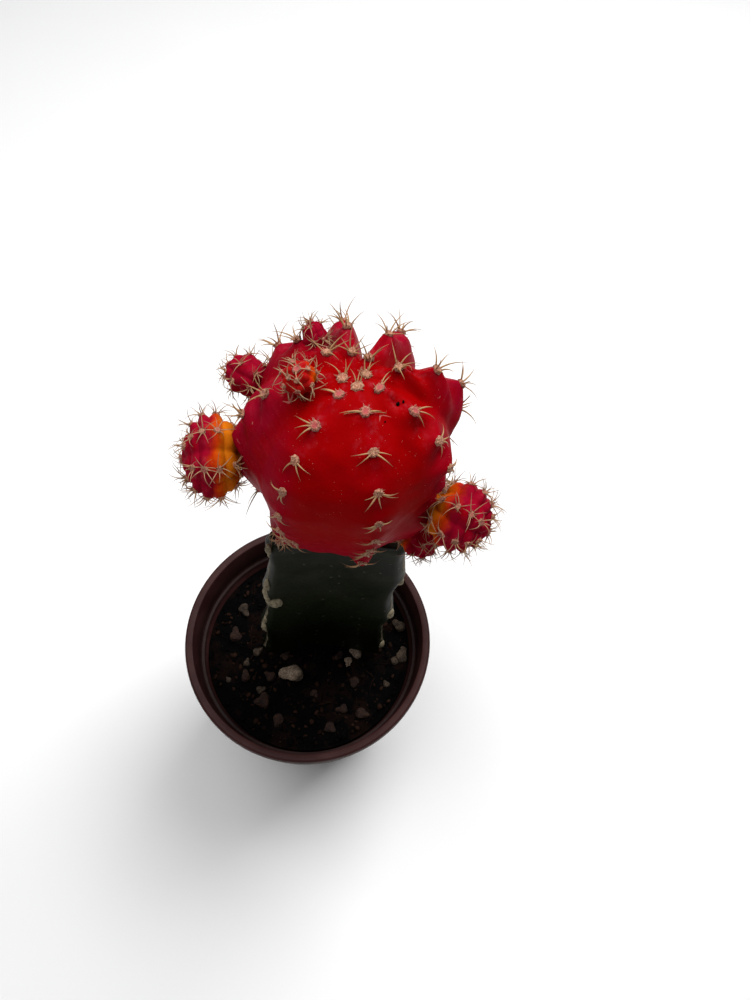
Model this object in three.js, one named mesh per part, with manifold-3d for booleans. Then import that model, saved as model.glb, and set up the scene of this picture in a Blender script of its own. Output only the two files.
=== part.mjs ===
// Potted moon cactus: a red ribbed head and its offsets, grafted on a three-winged
// rootstock that stands in the soil of a small plastic pot.
// Millimetres, +Z up, origin at the middle of the pot's base, the plant's face towards -Y.
import * as THREE from 'three';
import { mergeVertices } from 'three/addons/utils/BufferGeometryUtils.js';
import Module from 'manifold-3d';

const wasm = await Module();
wasm.setup();

// ---------------------------------------------------------------- driving dimensions

const GAP = 0.3; // clearance between pieces that rest on or in each other
const ROUND = 44; // facets round the pot and the soil

// Pot
const POT_HEIGHT = 52;
const RIM_RADIUS = 30;
const RIM_WIDTH = 2; // flat top of the lip, with its roundings
const COLLAR_HEIGHT = 10.5; // depth of the thicker band under the lip
const COLLAR_STEP = 1.7; // how far the band stands out of the wall below it
const BASE_RADIUS = 21;
const WALL = 1.3;
const FLOOR = 1.6;
const LEDGE_DROP = 8; // inner ledge, below the rim
const LEDGE_WIDTH = 1.1;
const DRAIN_HOLES = 6;
const DRAIN_RADIUS = 2.6;
const DRAIN_CIRCLE = 13;

// Soil
const SOIL_LEVEL = 42.6;
const SOIL_FOOT = FLOOR + GAP;
const SOIL_TILT = 0.02; // rise towards +X, per millimetre
const SOIL_RINGS = 7;

// Rootstock: three wings about an axis that leans a little to +X
const STOCK_FOOT = 22;
const STOCK_TOP = 104;
const STOCK_MID = 6.1; // axis to the middle of a face
const STOCK_AXIS = [3.2, 6.5]; // where the axis leaves the soil, behind the front face's edges
const STOCK_LEAN = 0.058; // of the axis towards +X
const STOCK_ROWS = 13;
const WING_SPAN = 21.5; // from one margin areole to the next
const WING_DIP = 1.3; // hollow of the margin between two areoles
const CORK_RADIUS = 1.3; // areoles of the margins
const WING_BLUNT = 7.5; // half the angle of the blunt margin, degrees
const WINGS = [
  { azimuth: -66, reachLow: 16.9, reachHigh: 15.0, areoleAt: 60.5 },
  { azimuth: 66, reachLow: 16.6, reachHigh: 15.4, areoleAt: 68.5 },
  { azimuth: 180, reachLow: 13.0, reachHigh: 11.4, areoleAt: 54.5 },
];

// Head: crest of a rib, as radius and height, from the graft to the crown
const HEAD_CREST = [
  [8.2, STOCK_TOP + GAP],
  [9.9, 106],
  [12.0, 110],
  [15.3, 118],
  [17.1, 125.5],
  [17.6, 131],
  [16.6, 136],
  [14.0, 140],
  [10.0, 143],
  [5.0, 144.6],
  [0, 144.8],
];
const HEAD_AXIS = [8.2, 8]; // at the widest level
const HEAD_LEAN = 0.03;
const HEAD_WIDEST = 131;
const HEAD_ROWS = 23;
const RIB_COLUMNS = 6; // columns of the surface to each rib
const HEAD_TWIST = -10; // turn of the ribs below the widest level, degrees
const CHIN = 0.75; // bulge under each areole
// Ribs by azimuth (0 towards -Y, 90 towards +X): how far the shoulder and the hip swell, how
// deep the furrow to the next rib is, the first areole's way from the crown and the pitch.
const RIBS = [
  { azimuth: -85, shoulder: 0.2, hip: 2.3, furrow: 1.6, first: 7.8, pitch: 5.8 },
  { azimuth: -35, shoulder: 0.0, hip: 1.9, furrow: 1.3, first: 4.0, pitch: 5.6 },
  { azimuth: 14, shoulder: 0.2, hip: 0.2, furrow: 1.7, first: 6.1, pitch: 5.8 },
  { azimuth: 62, shoulder: 0.2, hip: 0.3, furrow: 2.4, first: 4.0, pitch: 5.8 },
  { azimuth: 105, shoulder: 0.8, hip: 0.6, furrow: 4.0, first: 6.3, pitch: 6.2 },
  { azimuth: 148, shoulder: 1.0, hip: 0.6, furrow: 5.6, first: 3.9, pitch: 6.4 },
  { azimuth: 187, shoulder: 0.9, hip: 0.3, furrow: 2.6, first: 4.4, pitch: 5.9 },
  { azimuth: 226, shoulder: -0.2, hip: 0.6, furrow: 2.2, first: 5.8, pitch: 6.6 },
];

// Areoles and spines
const AREOLE_RADIUS = 0.95;
const SPINE_WIDTH = 0.45; // at its root
const FAN_HALF = 125; // half the angle that a fan of spines spreads over, degrees
const SPINE_CLEARANCE = 0.7; // from any other piece

// Offsets: small heads that grow on the big one, by centre, direction of the crown, size
// (width across and length along that direction) and rings of areoles
const OFFSETS = {
  offset_left: { centre: [-14.4, 5.2, 126.4], crown: [-1, -0.15, 0.1], size: [13.2, 10.4], rings: 4 },
  offset_right: { centre: [27.9, -1.2, 120.6], crown: [0.85, -0.5, -0.1], size: [11.6, 11], rings: 4 },
  offset_right_low: { centre: [20.3, -0.4, 109.6], crown: [0.7, -0.6, -0.4], size: [7.4, 7.4], rings: 3 },
  offset_back_left: { centre: [-9, 17, 132.8], crown: [-0.9, 0.45, 0.15], size: [7.6, 7.8], rings: 3 },
  offset_crown: { centre: [1.2, 7, 146], crown: [-0.1, -0.15, 1], size: [5, 4.6], rings: 2 },
  offset_back: { centre: [2.4, 16.9, 142.8], crown: [-0.3, 0.6, 0.7], size: [3.9, 4.4], rings: 2 },
  offset_low_left: { centre: [-3.5, -0.2, 110.9], crown: [-0.7, -0.7, -0.3], size: [3.8, 4.4], rings: 2 },
};
const OFFSET_RIBS = 7;
const OFFSET_FURROW = 0.16; // depth of a furrow, as a share of the radius
const OFFSET_NOTCH = 0.08; // dip of a rib between two areoles, as a share of the radius

// Soil: pale grit and bark on the surface, by place and size across
const CHIPS = [
  [-4.1, -7.2, 5.4],
  [11.9, -1.6, 3.0],
  [9.9, -3.9, 2.4],
  [-11.6, -11.3, 2.2],
  [23.6, -2.3, 3.0],
  [23, 5.9, 3.2],
  [11.5, -9, 2.6],
  [13.6, -16.9, 3.0],
  [-13, -1.6, 2.4],
  [5.8, -20.3, 2.6],
  [-11.2, -13.8, 3.4],
  [-6.9, -18.6, 3.0],
  [-17.5, 9.5, 3.0],
];
const CLODS = 5; // lumps of peat, 2 to 4 mm across

// ---------------------------------------------------------------- solids

function solidOf(geometry) {
  const bare = geometry.clone();
  bare.deleteAttribute('normal');
  bare.deleteAttribute('uv');
  const merged = mergeVertices(bare, 1e-4);
  const corners = merged.index.array;
  const triangles = [];
  for (let i = 0; i < corners.length; i += 3) {
    const [a, b, c] = corners.slice(i, i + 3);
    if (a !== b && b !== c && c !== a) triangles.push(a, b, c);
  }
  const vertProperties = new Float32Array(merged.attributes.position.array);
  const triVerts = new Uint32Array(triangles);
  return new wasm.Manifold(new wasm.Mesh({ numProp: 3, vertProperties, triVerts }));
}

// The solid without the scraps that a cut has left loose
function withoutScraps(solid) {
  return solid.decompose().reduce((most, piece) => (piece.volume() > most.volume() ? piece : most));
}

function geometryOf(solid) {
  const mesh = solid.getMesh();
  const geometry = new THREE.BufferGeometry();
  geometry.setAttribute('position', new THREE.BufferAttribute(new Float32Array(mesh.vertProperties), 3));
  geometry.setIndex(new THREE.BufferAttribute(new Uint32Array(mesh.triVerts), 1));
  geometry.computeVertexNormals();
  return geometry;
}

function named(name, solid, material) {
  const mesh = new THREE.Mesh(geometryOf(solid), material);
  mesh.name = name;
  return mesh;
}

// A closed skin of rows and columns. place(column, row) gives each point; the first and the
// last row are single points, and the columns run anticlockwise seen from above.
function skin(columns, rows, place) {
  const outline = Array.from({ length: rows }, (_, row) => new THREE.Vector2(1, row));
  const geometry = new THREE.LatheGeometry(outline, columns);
  const position = geometry.attributes.position;
  for (let column = 0; column <= columns; column += 1) {
    for (let row = 0; row < rows; row += 1) {
      const point = place(column % columns, row);
      position.setXYZ(column * rows + row, point.x, point.y, point.z);
    }
  }
  return solidOf(geometry);
}

function outwards(azimuth) {
  return new THREE.Vector3(Math.sin(azimuth), -Math.cos(azimuth), 0);
}

// Seeded random numbers between 0 and 1
function seeded(seed) {
  let state = seed;
  return () => {
    state = (state + 0x6d2b79f5) | 0;
    let mixed = Math.imul(state ^ (state >>> 15), 1 | state);
    mixed = (mixed + Math.imul(mixed ^ (mixed >>> 7), 61 | mixed)) ^ mixed;
    return ((mixed ^ (mixed >>> 14)) >>> 0) / 4294967296;
  };
}

const { clamp, degToRad, lerp, radToDeg, smoothstep } = THREE.MathUtils;
const up = new THREE.Vector3(0, 0, 1);

// Way and distance of a point from an upright axis
function polar(point, axis) {
  const [x, y] = [point.x - axis.x, point.y - axis.y];
  return { azimuth: radToDeg(Math.atan2(x, -y)), radius: Math.hypot(x, y) };
}

// ---------------------------------------------------------------- pot

const collarFoot = POT_HEIGHT - COLLAR_HEIGHT;
const ledge = POT_HEIGHT - LEDGE_DROP;
const innerRim = RIM_RADIUS - RIM_WIDTH;
const ledgeRadius = innerRim - 0.7;

function potInnerRadius(height) {
  const low = BASE_RADIUS - WALL;
  return lerp(low, ledgeRadius - LEDGE_WIDTH, (height - FLOOR) / (ledge - FLOOR));
}

function makePot() {
  const outline = [
    [0, 0],
    [BASE_RADIUS - 0.8, 0],
    [BASE_RADIUS, 0.8],
    [RIM_RADIUS - 1 - COLLAR_STEP, collarFoot],
    [RIM_RADIUS - 1.1, collarFoot + 0.9],
    [RIM_RADIUS - 0.5, POT_HEIGHT - 2.4],
    [RIM_RADIUS, POT_HEIGHT - 1.8],
    [RIM_RADIUS, POT_HEIGHT - 0.5],
    [RIM_RADIUS - 0.5, POT_HEIGHT],
    [innerRim + 0.4, POT_HEIGHT],
    [innerRim, POT_HEIGHT - 0.4],
    [ledgeRadius, ledge + 0.3],
    [potInnerRadius(ledge), ledge],
    [potInnerRadius(FLOOR), FLOOR],
    [0, FLOOR],
  ].map(([radius, height]) => new THREE.Vector2(radius, height));
  const lathe = new THREE.LatheGeometry(outline, ROUND);
  lathe.rotateX(Math.PI / 2);
  let pot = solidOf(lathe);
  for (let hole = 0; hole < DRAIN_HOLES; hole += 1) {
    const drill = new THREE.CylinderGeometry(DRAIN_RADIUS, DRAIN_RADIUS, 3 * FLOOR, 12);
    drill.rotateX(Math.PI / 2);
    const spot = outwards(((hole + 0.5) * 2 * Math.PI) / DRAIN_HOLES).multiplyScalar(DRAIN_CIRCLE);
    drill.translate(spot.x, spot.y, FLOOR / 2);
    pot = pot.subtract(solidOf(drill));
  }
  return pot;
}

// ---------------------------------------------------------------- rootstock

function stockAxis(height) {
  const [x, y] = STOCK_AXIS;
  return new THREE.Vector3(x + STOCK_LEAN * (height - SOIL_LEVEL), y, height);
}

// Radius of the stem in a direction at a height: blunt wings and hollow faces between them
function stockRadius(azimuth, height) {
  const share = clamp((height - SOIL_LEVEL) / (STOCK_TOP - SOIL_LEVEL), -0.4, 1);
  for (let i = 0; i < WINGS.length; i += 1) {
    const wing = WINGS[i];
    const next = WINGS[(i + 1) % WINGS.length];
    const span = (next.azimuth - wing.azimuth + 360) % 360;
    const along = (azimuth - wing.azimuth + 720) % 360;
    if (along > span) continue;
    const own = along < span / 2 ? wing : next;
    const off = Math.min(along, span - along);
    const wave = Math.abs(Math.sin((Math.PI * (height - own.areoleAt)) / WING_SPAN));
    const reach = lerp(own.reachLow, own.reachHigh, share) - WING_DIP * wave;
    const hollow = clamp((off - WING_BLUNT) / (span / 2 - WING_BLUNT), 0, 1);
    const flank = STOCK_MID * (reach / STOCK_MID) ** ((1 - hollow) ** 2.2);
    return off < WING_BLUNT ? reach - 0.5 * (off / WING_BLUNT) ** 2 : flank - 0.5 * (1 - hollow);
  }
  return STOCK_MID;
}

function stockDirections() {
  const directions = [];
  WINGS.forEach((wing, i) => {
    const span = (WINGS[(i + 1) % WINGS.length].azimuth - wing.azimuth + 360) % 360;
    const steps = [0, WING_BLUNT, span * 0.14, span * 0.27, span * 0.5];
    directions.push(...steps.map((step) => wing.azimuth + step));
    directions.push(...steps.slice(1, 4).reverse().map((step) => wing.azimuth + span - step));
  });
  return directions;
}

function makeStockBody(grow) {
  const directions = stockDirections();
  const foot = STOCK_FOOT - grow;
  const top = STOCK_TOP + grow;
  return skin(directions.length, STOCK_ROWS + 3, (column, row) => {
    const level = clamp((row - 1) / STOCK_ROWS, 0, 1);
    const height = lerp(foot, top, level);
    const centre = stockAxis(height);
    if (row === 0 || row === STOCK_ROWS + 2) return centre;
    const azimuth = directions[column];
    const radius = stockRadius(azimuth, height) * (level === 1 ? 0.94 : 1) + grow;
    return centre.addScaledVector(outwards(degToRad(azimuth)), radius);
  });
}

// Corky areoles on the margins, each with short thorns
function stockAreoles() {
  const areoles = [];
  for (const wing of WINGS) {
    const first = wing.areoleAt - WING_SPAN * Math.floor((wing.areoleAt - SOIL_LEVEL - 4) / WING_SPAN);
    for (let height = first; height < STOCK_TOP - 3; height += WING_SPAN) {
      const normal = outwards(degToRad(wing.azimuth));
      const spot = stockAxis(height).addScaledVector(normal, stockRadius(wing.azimuth, height) - 0.3);
      const down = new THREE.Vector3(0, 0, -1);
      areoles.push({ spot, normal, down, spines: 3, length: 1.3, pad: CORK_RADIUS });
    }
  }
  return areoles;
}

// ---------------------------------------------------------------- spines and areoles

// A fan of spines round an areole: mostly sideways and down the rib, a little outwards
function spineFan({ spot, normal, down, spines, length }, random) {
  const side = new THREE.Vector3().crossVectors(normal, down).normalize();
  return Array.from({ length: spines }, (_, i) => {
    const turn = degToRad(lerp(-FAN_HALF, FAN_HALF, i / (spines - 1)) + (random() - 0.5) * 20);
    const lean = degToRad(50 + 20 * random());
    const way = normal.clone().multiplyScalar(Math.cos(lean));
    way.addScaledVector(down, Math.cos(turn) * Math.sin(lean));
    way.addScaledVector(side, Math.sin(turn) * Math.sin(lean)).normalize();
    return { from: spot, way, turn, length: length * (0.8 + 0.4 * random()) };
  });
}

// A low cushion with a narrow facet under each spine; a kept spine draws its facet out to its tip
function burr({ spot, normal, down, pad }, fan, kept) {
  const side = new THREE.Vector3().crossVectors(normal, down).normalize();
  const half = Math.asin(SPINE_WIDTH / 2 / pad);
  const edge = (turn) => {
    const point = spot.clone().addScaledVector(normal, -0.35 * pad);
    point.addScaledVector(down, pad * Math.cos(turn));
    return point.addScaledVector(side, pad * Math.sin(turn));
  };
  const foot = spot.clone().addScaledVector(normal, -pad);
  const top = spot.clone().addScaledVector(normal, 0.5 * pad);
  const corners = fan.flatMap(({ turn }) => [edge(turn - half), edge(turn + half)]);
  const faces = [];
  corners.forEach((corner, i) => {
    const next = corners[(i + 1) % corners.length];
    const spine = i % 2 === 0 ? fan[i / 2] : undefined;
    faces.push(foot, next, corner);
    if (kept.includes(spine)) {
      const tip = along(spine, 1);
      const root = corner.clone().lerp(next, 0.5).lerp(top, 0.5);
      faces.push(top, corner, root, root, next, top);
      faces.push(tip, root, corner, tip, corner, next, tip, next, root);
    } else faces.push(top, corner, next);
  });
  return solidOf(new THREE.BufferGeometry().setFromPoints(faces));
}

function along(spine, share) {
  return spine.from.clone().addScaledVector(spine.way, spine.length * share);
}

const SHARES = [0.3, 0.5, 0.75, 1.06]; // where a spine is tested against other pieces

function spinesCross(one, other) {
  return SHARES.some((a) => SHARES.some((b) => along(one, a).distanceTo(along(other, b)) < SPINE_CLEARANCE));
}

// ---------------------------------------------------------------- head

const crest = new THREE.SplineCurve(HEAD_CREST.map(([radius, height]) => new THREE.Vector2(radius, height)));
crest.arcLengthDivisions = 400;
const crestLength = crest.getLength();

function headAxis(height) {
  const [x, y] = HEAD_AXIS;
  return new THREE.Vector3(x + HEAD_LEAN * (height - HEAD_WIDEST), y, 0);
}

// The crest at a way s from the crown: radius, height and the outward normal of its curve
function crestAt(s) {
  const share = clamp(1 - s / crestLength, 0, 1);
  const point = crest.getPointAt(share);
  const tangent = crest.getTangentAt(share);
  return { radius: point.x, height: point.y, out: tangent.y, rise: -tangent.x };
}

function twistAt(s) {
  return HEAD_TWIST * clamp((s - 24) / 14, 0, 1.3);
}

function ribBefore(azimuth) {
  const turned = ((azimuth - RIBS[0].azimuth + 720) % 360) + RIBS[0].azimuth;
  return RIBS.findLastIndex((rib) => rib.azimuth <= turned);
}

// Height of the skin over the plain crest surface: ribs, furrows and a chin under each areole
function headRelief(azimuth, s) {
  const i = ribBefore(azimuth);
  const rib = RIBS[i];
  const next = RIBS[(i + 1) % RIBS.length];
  const span = (next.azimuth - rib.azimuth + 360) % 360;
  const x = ((azimuth - rib.azimuth + 720) % 360) / span;
  const own = x < 0.5 ? rib : next;
  const sharpness = lerp(1.9, 0.85, smoothstep(s, 16, 36));
  const weight = 1 - (1 - Math.abs(2 * x - 1)) ** sharpness;
  const swell = own.shoulder * Math.exp(-(((s - 20) / 9) ** 2)) + own.hip * Math.exp(-(((s - 34) / 9) ** 2));
  const furrow = smoothstep(s, 1.5, 12) * (1 - 0.8 * smoothstep(s, 30, crestLength));
  const chin = CHIN * Math.cos((2 * Math.PI * (s - own.first)) / own.pitch);
  const chinShare = weight ** 3 * smoothstep(s, 2, 8) * (1 - smoothstep(s, 44, crestLength));
  return swell * weight - rib.furrow * (1 - weight) * furrow + chin * chinShare;
}

function headPoint(azimuth, s, grow) {
  const { radius, height, out, rise } = crestAt(s);
  const relief = headRelief(azimuth, s) + grow;
  const axis = headAxis(height);
  const way = outwards(degToRad(azimuth + twistAt(s)));
  const point = axis.addScaledVector(way, Math.max(radius + relief * out, 0));
  point.z = height + relief * rise;
  return point;
}

function headNormal(azimuth, s) {
  const { out, rise } = crestAt(s);
  const normal = outwards(degToRad(azimuth + twistAt(s))).multiplyScalar(out);
  normal.z = rise;
  return normal.normalize();
}

function makeHeadBody(grow) {
  const rows = HEAD_ROWS + 3;
  const foot = STOCK_TOP + GAP - grow;
  return skin(RIBS.length * RIB_COLUMNS, rows, (column, row) => {
    if (row === 0) return headAxis(foot).setZ(foot);
    if (row === rows - 1) return headPoint(0, 0, grow);
    const rib = Math.floor(column / RIB_COLUMNS);
    const span = (RIBS[(rib + 1) % RIBS.length].azimuth - RIBS[rib].azimuth + 360) % 360;
    const azimuth = RIBS[rib].azimuth + (span * (column % RIB_COLUMNS)) / RIB_COLUMNS;
    const point = headPoint(azimuth, crestLength * (1 - (row - 1) / (HEAD_ROWS + 1)), grow);
    return point.setZ(Math.max(point.z, foot));
  });
}

// How far a point lies outside the head's skin
const crestMarks = Array.from({ length: 61 }, (_, i) => (crestLength * i) / 60);

function clearOfHead(point) {
  const { azimuth, radius } = polar(point, headAxis(point.z));
  let nearest = Infinity;
  let clearance = 0;
  for (const s of crestMarks) {
    const mark = crestAt(s);
    const [across, above] = [radius - mark.radius, point.z - mark.height];
    const distance = Math.hypot(across, above);
    if (distance < nearest) {
      nearest = distance;
      clearance = across * mark.out + above * mark.rise - headRelief(azimuth - twistAt(s), s);
    }
  }
  return clearance;
}

// ---------------------------------------------------------------- offsets

function offsetFrame(offset) {
  const crown = new THREE.Vector3(...offset.crown).normalize();
  const turn = new THREE.Quaternion().setFromUnitVectors(up, crown);
  return new THREE.Matrix4().compose(new THREE.Vector3(...offset.centre), turn, new THREE.Vector3(1, 1, 1));
}

// A point of an offset's skin, by column and latitude: even columns run along the ribs
function offsetPoint(offset, column, latitude, notched) {
  const [width, length] = offset.size;
  const rib = column % 2 === 0;
  const relief = 1 - (rib ? 0 : OFFSET_FURROW) - (rib && notched ? OFFSET_NOTCH : 0);
  const radius = (width / 2) * relief * Math.cos(latitude);
  const way = outwards((Math.PI * column) / OFFSET_RIBS);
  return new THREE.Vector3(way.x * radius, way.y * radius, (length / 2) * relief * Math.sin(latitude));
}

function offsetLatitude(offset, row) {
  return degToRad(lerp(-72, 72, (row - 1) / (2 * offset.rings)));
}

function makeOffsetBody(offset) {
  const frame = offsetFrame(offset);
  const rows = 2 * offset.rings + 3;
  return skin(2 * OFFSET_RIBS, rows, (column, row) => {
    const pole = row === 0 || row === rows - 1;
    const latitude = pole ? (Math.PI / 2) * Math.sign(row - 1) : offsetLatitude(offset, row);
    return offsetPoint(offset, pole ? 0 : column, latitude, row % 2 === 1 || pole).applyMatrix4(frame);
  });
}

function insideOffset(point, offset, margin) {
  const local = point.clone().applyMatrix4(offsetFrame(offset).invert());
  const [across, tall] = offset.size.map((size) => size / 2 + margin);
  return (local.x ** 2 + local.y ** 2) / across ** 2 + local.z ** 2 / tall ** 2 < 1;
}

function nearStock(point, margin) {
  if (point.z > STOCK_TOP + margin) return false;
  const { azimuth, radius } = polar(point, stockAxis(point.z));
  return radius < stockRadius(azimuth, point.z) + margin;
}

// ---------------------------------------------------------------- areoles and their spines

function headAreoles() {
  const areoles = [];
  for (const rib of RIBS) {
    for (let s = rib.first; s < crestLength - 8; s += rib.pitch) {
      const spot = headPoint(rib.azimuth, s, -0.1);
      const above = headPoint(rib.azimuth, s - 1, 0);
      const down = headPoint(rib.azimuth, s + 1, 0).sub(above).normalize();
      const normal = headNormal(rib.azimuth, s);
      areoles.push({ spot, normal, down, spines: 4, length: 3.2, pad: AREOLE_RADIUS });
    }
  }
  const crown = headPoint(0, 0, -0.1);
  areoles.push({ spot: crown, normal: up, down: outwards(0), spines: 4, length: 2.4, pad: 1.2 });
  return areoles;
}

function offsetAreoles(offset) {
  const frame = offsetFrame(offset);
  const middle = new THREE.Vector3(...offset.centre);
  const length = clamp(offset.size[0] * 0.2, 1.5, 2.3);
  const pad = clamp(offset.size[0] * 0.06, 0.45, 0.65);
  const areoles = [];
  for (let ring = 1; ring <= offset.rings; ring += 1) {
    for (let rib = 0; rib < OFFSET_RIBS; rib += ring === offset.rings ? 2 : 1) {
      const latitude = offsetLatitude(offset, 2 * ring);
      const spot = offsetPoint(offset, 2 * rib, latitude, false);
      const [width, tall] = offset.size;
      const normal = spot.clone().divide(new THREE.Vector3(width ** 2, width ** 2, tall ** 2)).normalize();
      const down = outwards((2 * Math.PI * rib) / OFFSET_RIBS).multiplyScalar(Math.sin(latitude));
      down.z = -Math.cos(latitude);
      spot.applyMatrix4(frame);
      for (const way of [normal, down]) way.transformDirection(frame);
      areoles.push({ spot, normal, down, spines: 3, length, pad });
    }
  }
  const crown = offsetPoint(offset, 0, Math.PI / 2, false).applyMatrix4(frame);
  const normal = crown.clone().sub(middle).normalize();
  const down = new THREE.Vector3().crossVectors(normal, new THREE.Vector3(0, 1, 0.3)).normalize();
  areoles.push({ spot: crown, normal, down, spines: 4, length, pad: pad * 1.2 });
  return areoles;
}

const placed = []; // every spine so far, with the piece that it grows on

// Keeps the areoles and spines of one piece that come near no other piece
function clothe(owner, areoles, random) {
  const others = Object.keys(OFFSETS).filter((name) => name !== owner).map((name) => OFFSETS[name]);
  const clear = (point, margin) =>
    !others.some((offset) => insideOffset(point, offset, margin)) &&
    (owner === 'rootstock' || !nearStock(point, margin)) &&
    (owner === 'head' || clearOfHead(point) > margin);
  const solids = [];
  for (const areole of areoles) {
    if (!clear(areole.spot, areole.pad + GAP)) continue;
    const fan = spineFan(areole, random);
    const kept = fan.filter((spine) => {
      const free = SHARES.every((share) => clear(along(spine, share), SPINE_CLEARANCE));
      return free && !placed.some((other) => other.owner !== owner && spinesCross(spine, other));
    });
    placed.push(...kept.map((spine) => ({ owner, ...spine })));
    solids.push(burr(areole, fan, kept));
  }
  return solids;
}

function makeHead() {
  return wasm.Manifold.union([makeHeadBody(0), ...clothe('head', headAreoles(), seeded(7))]);
}

function makeStock() {
  return wasm.Manifold.union([makeStockBody(0), ...clothe('rootstock', stockAreoles(), seeded(5))]);
}

function makeOffset(name, offset, seed) {
  const seat = makeHeadBody(GAP);
  const clothing = clothe(name, offsetAreoles(offset), seeded(seed));
  return wasm.Manifold.union([makeOffsetBody(offset).subtract(seat), ...clothing]);
}

// ---------------------------------------------------------------- soil

function soilHeight(x, y) {
  const swell = 0.45 * Math.sin(0.42 * x + 1.1) * Math.cos(0.37 * y - 0.6);
  const crumble = 0.28 * Math.sin(1.15 * x - 0.7 * y + 2) + 0.2 * Math.cos(0.8 * x + 1.4 * y);
  return SOIL_LEVEL + SOIL_TILT * x + swell + crumble;
}

// A rough lump: an icosahedron flattened and turned at random
function lump(x, y, size, flatness, random) {
  const stone = new THREE.IcosahedronGeometry(size / 2, 0);
  stone.scale(1, 0.75 + 0.2 * random(), flatness);
  stone.rotateX((random() - 0.5) * 0.6);
  stone.rotateZ(random() * Math.PI);
  stone.translate(x, y, soilHeight(x, y) + 0.1 * size);
  return solidOf(stone);
}

function makeSoil() {
  const edge = (height) => potInnerRadius(height) - GAP;
  const rim = SOIL_LEVEL - 0.8; // the bed drops towards the wall
  const bed = skin(ROUND, SOIL_RINGS + 3, (column, row) => {
    const way = outwards((2 * Math.PI * column) / ROUND);
    if (row === 0) return new THREE.Vector3(0, 0, SOIL_FOOT);
    if (row === 1) return way.multiplyScalar(edge(SOIL_FOOT)).setZ(SOIL_FOOT);
    const radius = edge(rim) * (1 - (row - 2) / SOIL_RINGS);
    const point = way.multiplyScalar(radius);
    return point.setZ(row === 2 ? rim : soilHeight(point.x, point.y));
  });
  const random = seeded(3);
  const lumps = CHIPS.map(([x, y, size]) => lump(x, y, size, 0.62, random));
  for (let clod = 0; clod < CLODS; clod += 1) {
    const spot = outwards(clod * 2.4).multiplyScalar(8 + 15 * Math.sqrt(random()));
    lumps.push(lump(spot.x, spot.y, 2 + 2 * random(), 0.6, random));
  }
  return withoutScraps(wasm.Manifold.union([bed, ...lumps]).subtract(makeStockBody(GAP)));
}

// ---------------------------------------------------------------- assembly

const plastic = new THREE.MeshStandardMaterial({ color: 0x4a2e2b, roughness: 0.45, metalness: 0 });
const peat = new THREE.MeshStandardMaterial({ color: 0x1c1411, roughness: 1, metalness: 0 });
const greenSkin = new THREE.MeshStandardMaterial({ color: 0x26301f, roughness: 0.5, metalness: 0 });
const redSkin = new THREE.MeshStandardMaterial({ color: 0xb4051c, roughness: 0.4, metalness: 0 });
const offsetSkin = new THREE.MeshStandardMaterial({ color: 0xc0203a, roughness: 0.45, metalness: 0 });

const group = new THREE.Group();
group.add(named('pot', makePot(), plastic));
group.add(named('soil', makeSoil(), peat));
group.add(named('rootstock', makeStock(), greenSkin));
group.add(named('head', makeHead(), redSkin));
Object.entries(OFFSETS).forEach(([name, offset], index) => {
  group.add(named(name, makeOffset(name, offset, 31 + index), offsetSkin));
});

export default group;
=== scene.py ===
import math
import random

import bpy
from mathutils import Matrix, Vector, noise


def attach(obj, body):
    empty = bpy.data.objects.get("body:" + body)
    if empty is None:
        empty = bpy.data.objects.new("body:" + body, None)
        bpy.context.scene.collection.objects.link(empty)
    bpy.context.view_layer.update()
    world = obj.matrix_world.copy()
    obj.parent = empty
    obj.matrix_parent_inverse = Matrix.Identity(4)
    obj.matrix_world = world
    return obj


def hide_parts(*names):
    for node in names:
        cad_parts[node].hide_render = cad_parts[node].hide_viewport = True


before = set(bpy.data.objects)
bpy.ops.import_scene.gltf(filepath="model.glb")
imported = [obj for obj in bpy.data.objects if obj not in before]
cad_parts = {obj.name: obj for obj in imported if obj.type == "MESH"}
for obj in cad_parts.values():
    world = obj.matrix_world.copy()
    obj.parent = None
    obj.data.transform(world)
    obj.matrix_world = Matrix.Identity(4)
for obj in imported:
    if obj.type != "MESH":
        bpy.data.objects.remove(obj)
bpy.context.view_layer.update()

# ---------------------------------------------------------------- table, light and camera
# The plant stands on a white table under broad soft light that comes down from behind and
# from the right. The camera looks down on it from close by, as someone bending over it does.

MM = 0.001  # sizes below are in millimetres, and meshes are made in metres
CAMERA_PLACE = Vector((6.88, -58.33, 230.54))
CAMERA_WAY = Vector((0.0464, 0.4751, -0.8787))
CAMERA_RIGHT = Vector((0.9986, 0.0, 0.0527))
LENS = 27
LAMPS = {
    "window": {"place": (240, 280, 620), "size": 400, "watts": 4.4},
    "ceiling": {"place": (-200, 60, 660), "size": 460, "watts": 2.4},
    "fill": {"place": (-120, -560, 340), "size": 420, "watts": 0.35},
}
SKY = 0.06
SKY_TINT = (0.95, 0.97, 1.0, 1)
TABLE_DULL = (0.93, 0.93, 0.93, 1)
TABLE_WHITE = (0.96, 0.96, 0.96, 1)
LIT_HEIGHT = 80  # the lamps point at this height of the plant


def material(name, roughness=0.5, **finish):
    """A new material with its tree and its shader. A finish that is the same all over is set here."""
    made = bpy.data.materials.new(name)
    made.use_nodes = True
    shader = made.node_tree.nodes["Principled BSDF"]
    shader.inputs["Roughness"].default_value = roughness
    for socket, value in finish.items():
        shader.inputs[socket.replace("_", " ")].default_value = value
    return made, made.node_tree, shader.inputs


def put(tree, kind, sockets=None, give=0, **settings):
    """Adds a shader node. A socket takes a value or another node's output; gives back one output."""
    made = tree.nodes.new("ShaderNode" + kind)
    for setting, value in settings.items():
        setattr(made, setting, value)
    for socket, value in (sockets or {}).items():
        if isinstance(value, bpy.types.NodeSocket):
            tree.links.new(value, made.inputs[socket])
        else:
            made.inputs[socket].default_value = value
    return made.outputs[give]


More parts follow.
